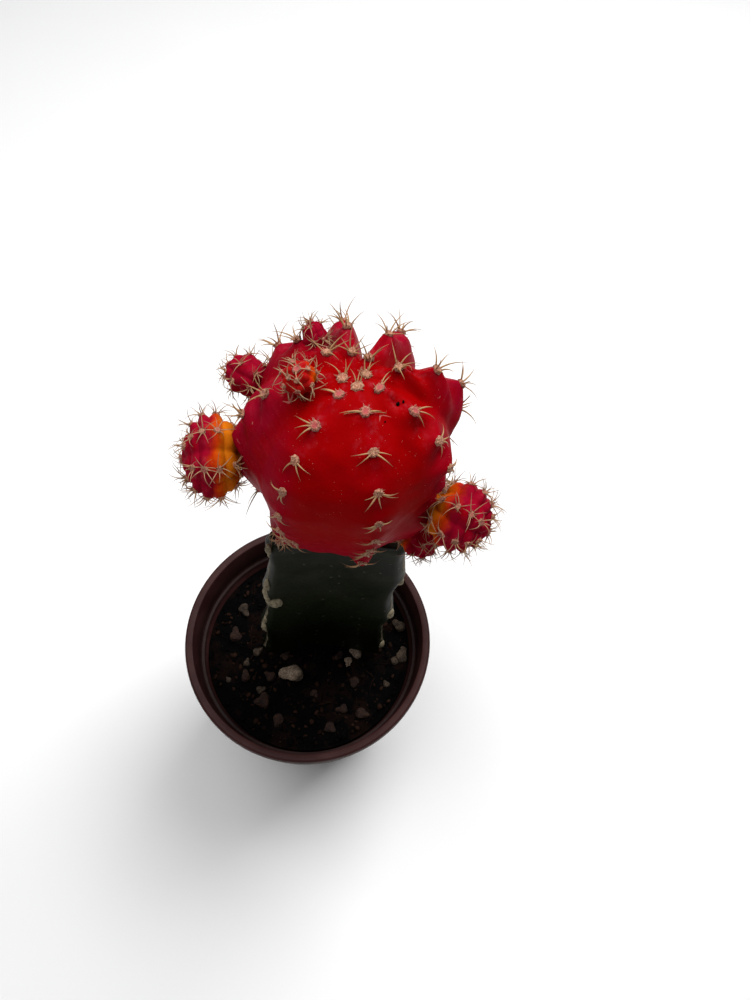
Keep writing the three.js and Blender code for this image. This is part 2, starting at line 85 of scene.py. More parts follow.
def blend_of(tree, share, one, other):
    """One colour going over to another as share goes from 0 to 1."""
    return put(tree, "Mix", {0: share, 6: one, 7: other}, give=2, data_type="RGBA")


def reckoned(tree, how, *values, held=False):
    """Arithmetic on one to three values, held between 0 and 1 where that is asked for."""
    return put(tree, "Math", dict(enumerate(values)), operation=how, use_clamp=held)


def times(tree, one, other):
    return reckoned(tree, "MULTIPLY", one, other, held=True)


def plus(tree, one, other):
    return reckoned(tree, "ADD", one, other, held=True)


def step_of(tree, value, low, high):
    """Goes smoothly from 0 at low to 1 at high."""
    spread = {"Value": value, "From Min": low, "From Max": high}
    return put(tree, "MapRange", spread, interpolation_type="SMOOTHSTEP")


def between(tree, value, low, high):
    """Goes from low to high as value goes from 0 to 1."""
    return put(tree, "MapRange", {"Value": value, "To Min": low, "To Max": high})


def grain_of(tree, size, detail=3.0, stretch=(1, 1, 1), rough=0.55):
    """Noise whose lumps are about size millimetres across."""
    place = put(tree, "TexCoord", give="Object")
    place = put(tree, "Mapping", {"Vector": place, "Scale": stretch})
    noise_of = {"Vector": place, "Scale": 1 / (size * MM), "Detail": detail, "Roughness": rough}
    return put(tree, "TexNoise", noise_of)


def patches(tree, size, low, high, **grain):
    """A mask of soft-edged patches: where the noise is under low it is 0, and over high it is 1."""
    return step_of(tree, grain_of(tree, size, **grain), low, high)


def bumped(tree, height, depth, below=None):
    """A normal from a height of 0 to 1, whose full rise is depth millimetres."""
    sockets = {"Height": height, "Distance": depth * MM, "Strength": 1.0}
    if below is not None:
        sockets["Normal"] = below
    return put(tree, "Bump", sockets)


def alone(piece):
    """Makes the piece the only one that an operator acts on."""
    bpy.ops.object.select_all(action="DESELECT")
    piece.select_set(True)
    bpy.context.view_layer.objects.active = piece


def finished(piece, name, finish, slot, *nodes):
    """Names the piece, gives it its finish, hangs it under the root body and hides the parts it stands in
    for.
    """
    piece.name = piece.data.name = name
    piece.data.materials.clear()
    piece.data.materials.append(finish)
    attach(piece, "root")
    if nodes:
        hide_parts(*nodes)
    return piece


def table_top():
    made, tree, shader = material("table_top", roughness=0.6)
    cloudy = grain_of(tree, 60, detail=2)
    tree.links.new(blend_of(tree, cloudy, TABLE_DULL, TABLE_WHITE), shader["Base Color"])
    return made


bpy.ops.object.select_all(action="DESELECT")
bpy.ops.mesh.primitive_plane_add(size=6)
table = bpy.context.object
table.name = "table"
table.data.materials.append(table_top())

for name, lamp in LAMPS.items():
    bpy.ops.object.light_add(type="AREA", location=Vector(lamp["place"]) * MM)
    light = bpy.context.object
    light.name = name
    light.data.size = lamp["size"] * MM
    light.data.energy = lamp["watts"]
    aim = Vector((0, 0, LIT_HEIGHT)) - Vector(lamp["place"])
    light.rotation_euler = aim.to_track_quat("-Z", "Y").to_euler()

sky = bpy.data.worlds.new("sky")
sky.use_nodes = True
sky.node_tree.nodes["Background"].inputs["Color"].default_value = SKY_TINT
sky.node_tree.nodes["Background"].inputs["Strength"].default_value = SKY
bpy.context.scene.world = sky
bpy.context.scene.view_settings.view_transform = "Standard"  # keeps the reds deep

camera_up = CAMERA_RIGHT.cross(CAMERA_WAY)
turn = Matrix((CAMERA_RIGHT, camera_up, -CAMERA_WAY)).transposed().to_4x4()
bpy.ops.object.camera_add()
camera = bpy.context.object
camera.matrix_world = Matrix.Translation(CAMERA_PLACE * MM) @ turn
camera.data.lens = LENS
camera.data.sensor_width = 36
camera.data.clip_start = 0.01
bpy.context.scene.camera = camera

# ---------------------------------------------------------------- pot
# A round nursery pot, injection-moulded in thin brown polypropylene: a collar stands out under
# the lip, a ledge runs round inside, and six drain holes go through the recessed floor.

RIM_RADIUS = 30
POT_HEIGHT = 52
COLLAR_FOOT = 41.5
LEDGE = 44
BASE_RADIUS = 21
POT_FLOOR = 1.6
LEDGE_RADIUS = 27.3
DRAIN_HOLES = 6
DRAIN_RADIUS = 2.6
DRAIN_CIRCLE = 13
POT_TURNS = 160
PLASTIC_DEEP = (0.032, 0.0105, 0.0098, 1)
PLASTIC_PALE = (0.047, 0.0180, 0.0165, 1)
DUST = (0.115, 0.088, 0.070, 1)
# The next colour is painted shade for the inside of the pot at the ledge
LEDGE_SHADE = (0.010, 0.0045, 0.0040, 1)


def mixed(one, other, share):
    return one + (other - one) * share


def clamped(value, low=0.0, high=1.0):
    return max(low, min(high, value))


def smooth(value, low, high):
    share = clamped((value - low) / (high - low))
    return share * share * (3 - 2 * share)


def outwards(azimuth):
    """The level direction at an azimuth in degrees: 0 towards -Y, 90 towards +X."""
    return Vector((math.sin(math.radians(azimuth)), -math.cos(math.radians(azimuth)), 0))


def pot_inside(height):
    """Inner radius of the wall below the ledge."""
    return mixed(BASE_RADIUS - 1.3, LEDGE_RADIUS - 1.1, (height - POT_FLOOR) / (LEDGE - POT_FLOOR))


POT_OUTLINE = [
    (0, 0.75), (0.9, 0.75), (1.1, 0.55), (1.7, 0.55), (1.9, 0.75),  # gate mark under the floor
    (17.2, 0.75), (17.6, 0.4), (17.9, 0),
    (BASE_RADIUS - 0.9, 0), (BASE_RADIUS - 0.2, 0.3), (BASE_RADIUS, 0.9),
    (RIM_RADIUS - 2.7, COLLAR_FOOT), (RIM_RADIUS - 2.5, COLLAR_FOOT + 0.25),  # collar
    (RIM_RADIUS - 1.4, COLLAR_FOOT + 0.55), (RIM_RADIUS - 1.1, COLLAR_FOOT + 0.95),
    (RIM_RADIUS - 0.52, POT_HEIGHT - 2.7), (RIM_RADIUS - 0.4, POT_HEIGHT - 2.3),  # lip
    (RIM_RADIUS, POT_HEIGHT - 1.9), (RIM_RADIUS, POT_HEIGHT - 0.7),
    (RIM_RADIUS - 0.15, POT_HEIGHT - 0.25), (RIM_RADIUS - 0.55, POT_HEIGHT),
    (RIM_RADIUS - 1.5, POT_HEIGHT), (RIM_RADIUS - 1.85, POT_HEIGHT - 0.15),
    (RIM_RADIUS - 2, POT_HEIGHT - 0.5),  # inside of the wall
    (LEDGE_RADIUS, LEDGE + 0.45), (LEDGE_RADIUS - 0.3, LEDGE + 0.1),
    (pot_inside(LEDGE) + 0.2, LEDGE), (pot_inside(LEDGE), LEDGE - 0.25),
    (pot_inside(POT_FLOOR + 1), POT_FLOOR + 1), (pot_inside(POT_FLOOR) - 0.8, POT_FLOOR), (0, POT_FLOOR),
]


def place_of(tree, axis):
    """How far along an axis the point of the surface is, in metres."""
    return put(tree, "SeparateXYZ", {0: put(tree, "TexCoord", give="Object")}, give=axis)


def brown_plastic():
    made, tree, shader = material("brown_plastic", Specular_IOR_Level=0.09)
    cloudy = grain_of(tree, 7, detail=4)
    colour = blend_of(tree, step_of(tree, cloudy, 0.35, 0.68), PLASTIC_DEEP, PLASTIC_PALE)
    height = place_of(tree, "Z")
    # The band at the ledge is darkened as painted shade, and a dusty film of dried peat lies there in
    # patches
    over_soil = step_of(tree, height, (LEDGE - 1.5) * MM, (LEDGE - 0.2) * MM)
    by_ledge = times(tree, over_soil, step_of(tree, height, (LEDGE + 5) * MM, (LEDGE + 0.4) * MM))
    patchy = patches(tree, 1.4, 0.5, 0.72, detail=5, rough=0.7)
    film = times(tree, by_ledge, patchy)
    rubbed = patches(tree, 0.9, 0.62, 0.75, detail=6, rough=0.75)
    dusty = plus(tree, times(tree, film, 0.08), times(tree, rubbed, 0.10))
    # Painted shade: the band at the ledge is darkened
    colour = blend_of(tree, times(tree, by_ledge, 0.7), colour, LEDGE_SHADE)
    tree.links.new(blend_of(tree, dusty, colour, DUST), shader["Base Color"])
    rough = between(tree, grain_of(tree, 2.2, detail=4), 0.34, 0.58)
    tree.links.new(plus(tree, rough, times(tree, dusty, 0.6)), shader["Roughness"])
    drawn = grain_of(tree, 1.1, detail=3, stretch=(1, 1, 0.06))
    normal = bumped(tree, drawn, 0.035)
    tree.links.new(bumped(tree, grain_of(tree, 0.22, detail=2), 0.012, below=normal), shader["Normal"])
    return made


def spun(name, outline, turns):
    """A closed body of revolution about Z from an outline of radius and height."""
    mesh = bpy.data.meshes.new(name)
    edges = [(i, i + 1) for i in range(len(outline) - 1)]
    mesh.from_pydata([(radius * MM, 0, height * MM) for radius, height in outline], edges, [])
    body = bpy.data.objects.new(name, mesh)
    bpy.context.collection.objects.link(body)
    alone(body)
    bpy.ops.object.mode_set(mode="EDIT")
    bpy.ops.mesh.select_all(action="SELECT")
    bpy.ops.mesh.spin(steps=turns, angle=2 * math.pi, center=(0, 0, 0), axis=(0, 0, 1))
    bpy.ops.mesh.select_all(action="SELECT")
    bpy.ops.mesh.remove_doubles(threshold=1e-6)
    bpy.ops.mesh.normals_make_consistent(inside=False)
    bpy.ops.object.mode_set(mode="OBJECT")
    return body


pot = spun("pot_shell", POT_OUTLINE, POT_TURNS)
drills = []
for hole in range(DRAIN_HOLES):
    spot = outwards((hole + 0.5) * 360 / DRAIN_HOLES) * DRAIN_CIRCLE * MM
    bpy.ops.mesh.primitive_cylinder_add(vertices=40, radius=DRAIN_RADIUS * MM, depth=6 * MM, location=spot)
    drills.append(bpy.context.object)
for drill in drills:
    alone(pot)
    cut = pot.modifiers.new("drain", "BOOLEAN")
    cut.object = drill
    cut.operation = "DIFFERENCE"
    bpy.ops.object.modifier_apply(modifier=cut.name)
    bpy.data.objects.remove(drill)
alone(pot)
bpy.ops.object.shade_smooth_by_angle(angle=math.radians(32))
finished(pot, "pot_shell", brown_plastic(), "pot_plastic", "pot")

# ---------------------------------------------------------------- soil
# A bed of dark peat that has sunk below the rim and drops a little towards the wall. Its top is
# crumbs, clods and fibres, loosely pressed, with reddish bark dust in patches. Its colours are set
# darker than peat is, as painted shade of the plant and the pot.

SOIL_LEVEL = 42.6
SOIL_TILT = 0.02
SOIL_RIM = 41.8
SOIL_FOOT = 1.9
SOIL_EDGE = pot_inside(SOIL_RIM) - 0.3
CRUMBS = 1500
FIBRES = 150
# Painted shade: the peat colours are set darker than peat is, for the shade of the plant and the pot
PEAT_BLACK = (0.0008, 0.0007, 0.0007, 1)
PEAT_BROWN = (0.0066, 0.0027, 0.0019, 1)
PEAT_GREY = (0.0042, 0.0045, 0.0052, 1)
CRUMB_BROWN = (0.022, 0.0095, 0.0058, 1)
chance = random.Random(11)


def soil_height(x, y):
    swell = 0.45 * math.sin(0.42 * x + 1.1) * math.cos(0.37 * y - 0.6)
    crumble = 0.28 * math.sin(1.15 * x - 0.7 * y + 2) + 0.2 * math.cos(0.8 * x + 1.4 * y)
    return SOIL_LEVEL + SOIL_TILT * x + swell + crumble


def rough_height(x, y):
    """Height of the soil with its clods."""
    clods = noise.fractal(Vector((x, y, 3)) * 0.38, 0.7, 2.1, 6)
    return soil_height(x, y) + 0.55 * clods


def marked(body, name, values):
    """Keeps one number for each vertex, which a material reads by name."""
    layer = body.data.attributes.new(name, "FLOAT", "POINT")
    layer.data.foreach_set("value", values)


def mark_of(tree, name):
    return put(tree, "Attribute", give="Fac", attribute_name=name)


def skinned(name, columns, rows, place, *marks):
    """A closed skin: a ball whose points go to place(turn, way), both from 0 to 1. Turn goes round
    from -Y by way of +X, and way from the top to the bottom. place gives a point in millimetres,
    and after it a number for each of the marks."""
    bpy.ops.object.select_all(action="DESELECT")
    bpy.ops.mesh.primitive_uv_sphere_add(segments=columns, ring_count=rows, radius=1)
    body = bpy.context.object
    body.name = name
    values = []
    for point in body.data.vertices:
        x, y, z = point.co
        turn = (math.degrees(math.atan2(x, -y)) % 360) / 360
        way = math.acos(clamped(z, -1, 1)) / math.pi
        spot, *here = place(round(turn * columns) / columns % 1, round(way * rows) / rows)
        point.co = spot * MM
        values.append(here)
    bpy.ops.object.shade_smooth()
    for number, mark in enumerate(marks):
        marked(body, mark, [here[number] for here in values])
    return body


def peat():
    made, tree, shader = material("peat", Specular_IOR_Level=0.05)
    brown = patches(tree, 6.5, 0.50, 0.64, detail=3)
    colour = blend_of(tree, brown, PEAT_BLACK, PEAT_BROWN)
    ashy = patches(tree, 0.8, 0.56, 0.74, detail=6, rough=0.7)
    tree.links.new(blend_of(tree, ashy, colour, PEAT_GREY), shader["Base Color"])
    rough = between(tree, grain_of(tree, 1.2), 0.75, 1.0)
    tree.links.new(rough, shader["Roughness"])
    normal = bumped(tree, grain_of(tree, 1.1, detail=8, rough=0.75), 0.9)
    tree.links.new(normal, shader["Normal"])
    return made


def peat_crumb():
    made, tree, shader = material("peat_crumb", roughness=0.9, Specular_IOR_Level=0.05)
    shade = mark_of(tree, "shade")
    colour = blend_of(tree, step_of(tree, shade, 0.55, 1.0), PEAT_BLACK, CRUMB_BROWN)
    ashy = patches(tree, 0.5, 0.55, 0.75, detail=4)
    tree.links.new(blend_of(tree, times(tree, ashy, 0.5), colour, PEAT_GREY), shader["Base Color"])
    tree.links.new(bumped(tree, grain_of(tree, 0.35, detail=5), 0.2), shader["Normal"])
    return made


def soil_point(turn, way):
    direction = outwards(turn * 360)
    if way <= 0.8:
        spot = direction * SOIL_EDGE * (way / 0.8)
        drop = smooth(way, 0.72, 0.8) * 0.8
        return (Vector((spot.x, spot.y, mixed(rough_height(spot.x, spot.y), SOIL_RIM, drop))),)
    if way <= 0.9:
        height = mixed(SOIL_RIM, SOIL_FOOT, (way - 0.8) / 0.1)
        return (direction * (pot_inside(height) - 0.3) + Vector((0, 0, height)),)
    return (direction * (pot_inside(SOIL_FOOT) - 0.3) * (1 - way) / 0.1 + Vector((0, 0, SOIL_FOOT)),)


bed = skinned("peat_bed", 200, 140, soil_point)
finished(bed, "peat_bed", peat(), "peat", "soil")


class Heap:
    """Many copies of a small form, gathered in one mesh, with a shade for each copy."""

    def __init__(self):
        self.points = []
        self.faces = []
        self.shades = []
        self.ends = []

    def add(self, form, place, shade):
        """place takes a point of the form to its place in millimetres."""
        first = len(self.points)
        for point in form["points"]:
            self.points.append(place(point) * MM)
            self.shades.append(shade)
        self.ends += form["ends"]
        self.faces += [[first + i for i in face] for face in form["faces"]]

    def piece(self, name):
        mesh = bpy.data.meshes.new(name)
        mesh.from_pydata(self.points, [], self.faces)
        body = bpy.data.objects.new(name, mesh)
        bpy.context.collection.objects.link(body)
        marked(body, "shade", self.shades)
        marked(body, "end", self.ends)
        alone(body)
        bpy.ops.object.shade_smooth()
        return body


def form_of(body, ends=None):
    """The points and faces of a modelled form, whose object is then cleared away, and a number
    for each point: how far along the form it is."""
    points = [point.co.copy() for point in body.data.vertices]
    faces = [list(face.vertices) for face in body.data.polygons]
    bpy.data.objects.remove(body)
    return {"points": points, "faces": faces, "ends": ends or [point.z for point in points]}


def pebble(detail, knobs):
    """A rough lump about 1 across: a ball whose points noise pushes in and out."""
    bpy.ops.object.select_all(action="DESELECT")
    bpy.ops.mesh.primitive_ico_sphere_add(subdivisions=detail, radius=0.5)
    body = bpy.context.object
    for point in body.data.vertices:
        point.co *= 1 + knobs * noise.noise(point.co * 2.0 + Vector((detail, knobs, 5)))
    return form_of(body)


def strand(sides, rings, point_width):
    """A thin upright strand 1 long and 1 thick at its root, drawn out ring by ring to its tip."""
    bpy.ops.object.select_all(action="DESELECT")
    bpy.ops.mesh.primitive_circle_add(vertices=sides, radius=0.5, fill_type="NGON")
    body = bpy.context.object
    bpy.ops.object.mode_set(mode="EDIT")
    bpy.ops.mesh.select_all(action="SELECT")
    bpy.ops.mesh.flip_normals()
    for ring in range(rings):
        now, after = (mixed(1, point_width, ((ring + up) / rings) ** 1.3) for up in (0, 1))
        bpy.ops.mesh.extrude_region_move(TRANSFORM_OT_translate={"value": (0, 0, 1 / rings)})
        bpy.ops.transform.resize(value=(after / now, after / now, 1))
    bpy.ops.mesh.select_all(action="SELECT")
    bpy.ops.mesh.normals_make_consistent(inside=False)
    bpy.ops.object.mode_set(mode="OBJECT")
    return form_of(body)


def tumbled(spot, sizes):
    """Places a form at a spot, turned at random, with its three sizes."""
    turned = Matrix.Rotation(chance.uniform(0, 6.3), 3, "Z")
    turned = turned @ Matrix.Rotation(chance.uniform(-0.6, 0.6), 3, "X")
    stretched = Matrix.Diagonal(sizes)
    return lambda point: spot + turned @ (stretched @ point)


def bent_along(spot, way, bend, length, width):
    """Places a strand from a spot along way, bending towards bend."""
    side = way.cross(bend)
    side = side.normalized() if side.length > 1e-4 else way.orthogonal().normalized()
    other = side.cross(way)

    def place(point):
        middle = spot + way * (length * point.z) + bend * (length * point.z ** 2)
        return middle + (side * point.x + other * point.y) * width

    return place


def on_soil(reach):
    """A random place on the soil, within reach of the pot's middle."""
    way = outwards(chance.uniform(0, 360)) * reach * math.sqrt(chance.random())
    return Vector((way.x, way.y, rough_height(way.x, way.y)))


crumbs = Heap()
crumb = pebble(1, 0.5)
for _ in range(CRUMBS):
    size = mixed(0.35, 1.7, chance.random() ** 2.4)
    spot = on_soil(SOIL_EDGE - 0.9)
    sizes = (size, size * chance.uniform(0.5, 1), size * chance.uniform(0.4, 0.8))
    crumbs.add(crumb, tumbled(spot, sizes), chance.random())
crumb_peat = peat_crumb()
finished(crumbs.piece("peat_crumbs"), "peat_crumbs", crumb_peat, "peat")

fibres = Heap()
fibre = strand(4, 5, 0.4)
for _ in range(FIBRES):
    spot = on_soil(SOIL_EDGE - 4.5) + Vector((0, 0, 0.15))
    way = (outwards(chance.uniform(0, 360)) + Vector((0, 0, chance.uniform(-0.05, 0.25)))).normalized()
    bend = outwards(chance.uniform(0, 360)) * 0.25 - Vector((0, 0, 0.12))
    place = bent_along(spot, way, bend, chance.uniform(1.5, 4.5), chance.uniform(0.12, 0.28))
    fibres.add(fibre, place, chance.uniform(0.5, 1))
finished(fibres.piece("peat_fibres"), "peat_fibres", crumb_peat, "peat")

# ---------------------------------------------------------------- grit
# Perlite, pumice and bark that were mixed into the peat: a large white lump in front of the
# stem, smaller white and buff stones, and reddish bits of bark, half sunk in the surface.

WHITE_GRIT = [  # each stone's place across the pot, and its size
    (-4.1, -7.2, 5.4), (11.9, -1.6, 3.0), (9.9, -3.9, 2.4), (-6.5, 19, 2.6), (12.5, 21, 2.2),
]
BUFF_GRIT = [
    (23.6, -2.3, 3.6), (23, 5.9, 3.2), (-13, -1.6, 2.3), (-17.5, 9.5, 3.0), (21.8, -3.4, 2.2),
    (3, 23.5, 2.8), (-11.6, -11.3, 2.0), (-15.6, -4.3, 1.8), (-20, -8.7, 1.6), (19.6, -9.4, 1.7),
    (24.0, -0.6, 1.8),
]
BARK = [
    (11.5, -9, 2.5), (13.6, -16.9, 3.0), (1.6, -12.1, 1.9), (8.6, -15.5, 2.6), (-6.1, -2.6, 2.2),
    (5.8, -20.3, 2.6), (7.6, -2.6, 2.4), (-11.2, -13.8, 3.4), (-6.9, -18.6, 3.0), (-15.6, -7.8, 2.8),
    (-9.6, -7.8, 2.6), (-19, 3, 3.2), (16, 13, 3.4), (-10, 15, 3.0),
]
GRIT = {  # places, height for a width of 1, pale and dark colour
    # Painted shade: the white and buff stones are coloured darker than perlite and pumice are, for the
    # shade of the plant and the pot
    "white_grit": (WHITE_GRIT, 0.62, (0.26, 0.195, 0.140, 1), (0.10, 0.070, 0.048, 1)),
    "buff_grit": (BUFF_GRIT, 0.6, (0.062, 0.041, 0.026, 1), (0.018, 0.011, 0.007, 1)),
    "bark_bits": (BARK, 0.5, (0.030, 0.0105, 0.0042, 1), (0.0075, 0.0028, 0.0018, 1)),
}


def stone(name, pale, dark):
    made, tree, shader = material(name, roughness=0.88, Specular_IOR_Level=0.3)
    own = plus(tree, mark_of(tree, "shade"), 0.6)
    shade = times(tree, grain_of(tree, 1.3, detail=6, rough=0.65), own)
    colour = blend_of(tree, step_of(tree, shade, 0.30, 0.62), dark, pale)
    pits = patches(tree, 0.35, 0.40, 0.52, detail=3)
    tree.links.new(blend_of(tree, pits, dark, colour), shader["Base Color"])
    tree.links.new(bumped(tree, grain_of(tree, 0.5, detail=6, rough=0.7), 0.25), shader["Normal"])
    return made


for name, (places, flatness, pale, dark) in GRIT.items():
    stones = Heap()
    for number, (x, y, size) in enumerate(places):
        rough = pebble(4, 0.45 + 0.1 * (number % 4))
        sizes = (size, size * chance.uniform(0.72, 0.95), size * flatness)
        spot = Vector((x, y, soil_height(x, y) + 0.16 * size))
        stones.add(rough, tumbled(spot, sizes), chance.uniform(0.5, 1))
    finished(stones.piece(name), name, stone(name, pale, dark), "peat")

# ---------------------------------------------------------------- rootstock
# A cutting of a three-winged climbing cactus stands in the soil. Its waxy green faces, coloured darker
# than their own green as painted shade under the head, are hollow, a thin horny line runs down each
# blunt margin, and its shoulders were trimmed to graft.

STOCK_FOOT = 22
STOCK_TOP = 104
STOCK_MID = 6.1
STOCK_AXIS = (3.2, 6.5)
STOCK_LEAN = 0.058
WING_SPAN = 21.5
WING_DIP = 1.3
WING_BLUNT = 7.5
WINGS = [
    {"azimuth": -66, "low": 16.9, "high": 15.0, "areole": 60.5},
    {"azimuth": 66, "low": 16.6, "high": 15.4, "areole": 68.5},
    {"azimuth": 180, "low": 13.0, "high": 11.4, "areole": 54.5},
]
# Painted shade: these greens are set darker than the stem's own green, for the shade of the head above it
GREEN_DEEP = (0.0036, 0.0062, 0.0014, 1)
GREEN_WAXY = (0.0122, 0.0140, 0.0066, 1)
BLOOM_FROM = 52  # the waxy bloom comes in between these heights
BLOOM_TO = 96
DOT_PALE = (0.13, 0.125, 0.09, 1)
DOT_FINE = (0.07, 0.08, 0.05, 1)
CUT_GREEN = (0.0070, 0.0078, 0.0042, 1)
CUT_DRY = (0.016, 0.0155, 0.0095, 1)
HORN = (0.20, 0.165, 0.115, 1)


def stock_axis(height):
    return Vector((STOCK_AXIS[0] + STOCK_LEAN * (height - SOIL_LEVEL), STOCK_AXIS[1], height))


def wing_at(azimuth):
    """The nearer wing, how far off it is and the span to the next one, in degrees."""
    for wing, following in zip(WINGS, WINGS[1:] + WINGS[:1]):
        span = (following["azimuth"] - wing["azimuth"]) % 360
        along = (azimuth - wing["azimuth"]) % 360
        if along <= span:
            return (wing if along < span / 2 else following), min(along, span - along), span


def stock_radius(azimuth, height):
    wing, off, span = wing_at(azimuth)
    share = clamped((height - SOIL_LEVEL) / (STOCK_TOP - SOIL_LEVEL), -0.4, 1)
    wave = abs(math.sin(math.pi * (height - wing["areole"]) / WING_SPAN))
    reach = mixed(wing["low"], wing["high"], share) - WING_DIP * wave
    if off < WING_BLUNT:
        return reach - 0.5 * (off / WING_BLUNT) ** 2
    hollow = clamped((off - WING_BLUNT) / (span / 2 - WING_BLUNT))
    return STOCK_MID * (reach / STOCK_MID) ** ((1 - hollow) ** 2.2) - 0.5 * (1 - hollow)


def stock_point(turn, way):
    """A point of the stem, with its nearness to a margin and whether the knife cut it."""
    azimuth = turn * 360
    direction = outwards(azimuth)
    off = wing_at(azimuth)[1]
    if way < 0.1:  # the cut top, a little sunk towards the middle
        share = way / 0.1
        reach = direction * stock_radius(azimuth, STOCK_TOP) * 0.93 * share
        return stock_axis(STOCK_TOP - 0.35 * (1 - share)) + reach, 0.0, 1.0
    if way > 0.96:  # the buried foot
        reach = direction * stock_radius(azimuth, STOCK_FOOT) * (1 - way) / 0.04
        return stock_axis(STOCK_FOOT) + reach, 0.0, 0.0
    height = mixed(STOCK_TOP, STOCK_FOOT, ((way - 0.1) / 0.86) ** 1.1)
    trimmed = 1 - 0.07 * smooth(height, STOCK_TOP - 2.2, STOCK_TOP)
    spot = stock_axis(height) + direction * stock_radius(azimuth, height) * trimmed
    ripple = noise.noise(spot * 0.16) * 0.30 + noise.noise(spot * 0.6) * 0.03
    cut = smooth(height + 0.8 * noise.noise(spot * 0.6), STOCK_TOP - 1.2, STOCK_TOP - 0.4)
    return spot + direction * ripple, math.exp(-((off / 3.0) ** 2)), cut


def flecks():
    """A node group: small round dots, one in some of the cells, with a size in millimetres."""
    group = bpy.data.node_groups.new("flecks", "ShaderNodeTree")
    for socket in ("Spacing", "Dot", "Share"):
        group.interface.new_socket(socket, in_out="INPUT", socket_type="NodeSocketFloat")
    group.interface.new_socket("Mask", in_out="OUTPUT", socket_type="NodeSocketFloat")
    taken = group.nodes.new("NodeGroupInput").outputs
    place = put(group, "TexCoord", give="Object")
    uneven = put(group, "TexNoise", {"Vector": place, "Scale": 1800.0, "Detail": 2.0}, give="Color")
    moved = put(group, "VectorMath", {0: uneven, 1: (0.0003, 0.0003, 0.0003)}, operation="MULTIPLY")
    place = put(group, "VectorMath", {0: place, 1: moved}, operation="ADD")
    cells = reckoned(group, "DIVIDE", 1 / MM, taken["Spacing"])
    near = {"Vector": place, "Scale": cells}
    off = put(group, "TexVoronoi", near, give="Distance")
    own = put(group, "SeparateXYZ", {0: put(group, "TexVoronoi", near, give="Color")})
    reach = reckoned(group, "DIVIDE", taken["Dot"], taken["Spacing"])
    dot = step_of(group, off, reach, reckoned(group, "MULTIPLY", reach, 0.55))
    chosen = reckoned(group, "LESS_THAN", own, taken["Share"])
    mask = reckoned(group, "MULTIPLY", dot, chosen)
    group.links.new(mask, group.nodes.new("NodeGroupOutput").inputs["Mask"])
    return group


FLECKS = flecks()


def flecked(tree, spacing, dot, share):
    made = tree.nodes.new("ShaderNodeGroup")
    made.node_tree = FLECKS
    for socket, value in (("Spacing", spacing), ("Dot", dot), ("Share", share)):
        made.inputs[socket].default_value = value
    return made.outputs["Mask"]


def green_skin():
    made, tree, shader = material("green_skin", Specular_IOR_Level=0.07)
    bloom = step_of(tree, place_of(tree, "Z"), BLOOM_FROM * MM, BLOOM_TO * MM)
    bloom = times(tree, bloom, patches(tree, 9, 0.2, 0.7, detail=4))
    colour = blend_of(tree, bloom, GREEN_DEEP, GREEN_WAXY)
    dots = times(tree, flecked(tree, 1.7, 0.32, 0.3), 0.55)
    colour = blend_of(tree, dots, colour, DOT_PALE)
    fine = times(tree, flecked(tree, 0.8, 0.12, 0.5), 0.35)
    colour = blend_of(tree, fine, colour, DOT_FINE)
    horny = times(tree, mark_of(tree, "margin"), grain_of(tree, 1.6, detail=5))
    horny = step_of(tree, horny, 0.30, 0.52)
    colour = blend_of(tree, times(tree, horny, 0.8), colour, HORN)
    dried = blend_of(tree, grain_of(tree, 1.2, detail=5), CUT_GREEN, CUT_DRY)
    tree.links.new(blend_of(tree, mark_of(tree, "cut"), colour, dried), shader["Base Color"])
    rough = between(tree, grain_of(tree, 3, detail=4), 0.36, 0.56)
    tree.links.new(plus(tree, rough, times(tree, horny, 0.3)), shader["Roughness"])
    normal = bumped(tree, grain_of(tree, 1.2, detail=4), 0.02)
    tree.links.new(bumped(tree, plus(tree, dots, horny), 0.10, below=normal), shader["Normal"])
    return made


stem = skinned("stem", 240, 180, stock_point, "margin", "cut")
finished(stem, "stem", green_skin(), "green_skin", "rootstock")

# ---------------------------------------------------------------- corky areoles of the rootstock
# Buff cork has grown over each areole of the margins, where the thorns were rubbed off. One long
# scar of it runs down the left margin and out onto the face.

CORK = [  # wing, height, length along the margin, width, shift onto the front face
    (0, 102.6, 3.4, 1.5, 0.5), (0, 98.8, 2.0, 0.9, 0.2), (0, 84.4, 4.4, 1.9, 0.3),
    (0, 81.0, 4.6, 2.0, 0.35), (0, 78.6, 5.4, 2.4, 0.4), (0, 77.0, 5.0, 3.0, 0.7),
    (0, 77.2, 4.8, 3.0, 0.9), (0, 77.4, 4.6, 2.9, 1.1), (0, 77.7, 4.2, 2.6, 1.3),
    (0, 60.0, 4.6, 2.2, 0.4), (0, 63.4, 2.6, 1.4, 0.2),
    (1, 88.7, 3.4, 2.0, 0.3), (1, 69.6, 3.8, 2.5, 0.3), (1, 47.4, 3.0, 2.2, 0.2),
    (2, 54.5, 3.4, 2.4, 0), (2, 76.0, 3.8, 2.6, 0), (2, 97.5, 3.2, 2.2, 0),
]
CORK_SHIFT = 7  # degrees for a shift of 1
CORK_BROWN = (0.10, 0.080, 0.048, 1)
CORK_BUFF = (0.27, 0.225, 0.145, 1)


def cork():
    made, tree, shader = material("cork", roughness=0.85, Specular_IOR_Level=0.3)
    patchy = patches(tree, 0.9, 0.36, 0.62, detail=6, rough=0.7)
    tree.links.new(blend_of(tree, patchy, CORK_BROWN, CORK_BUFF), shader["Base Color"])
    tree.links.new(bumped(tree, grain_of(tree, 0.5, detail=6, rough=0.7), 0.15), shader["Normal"])
    return made


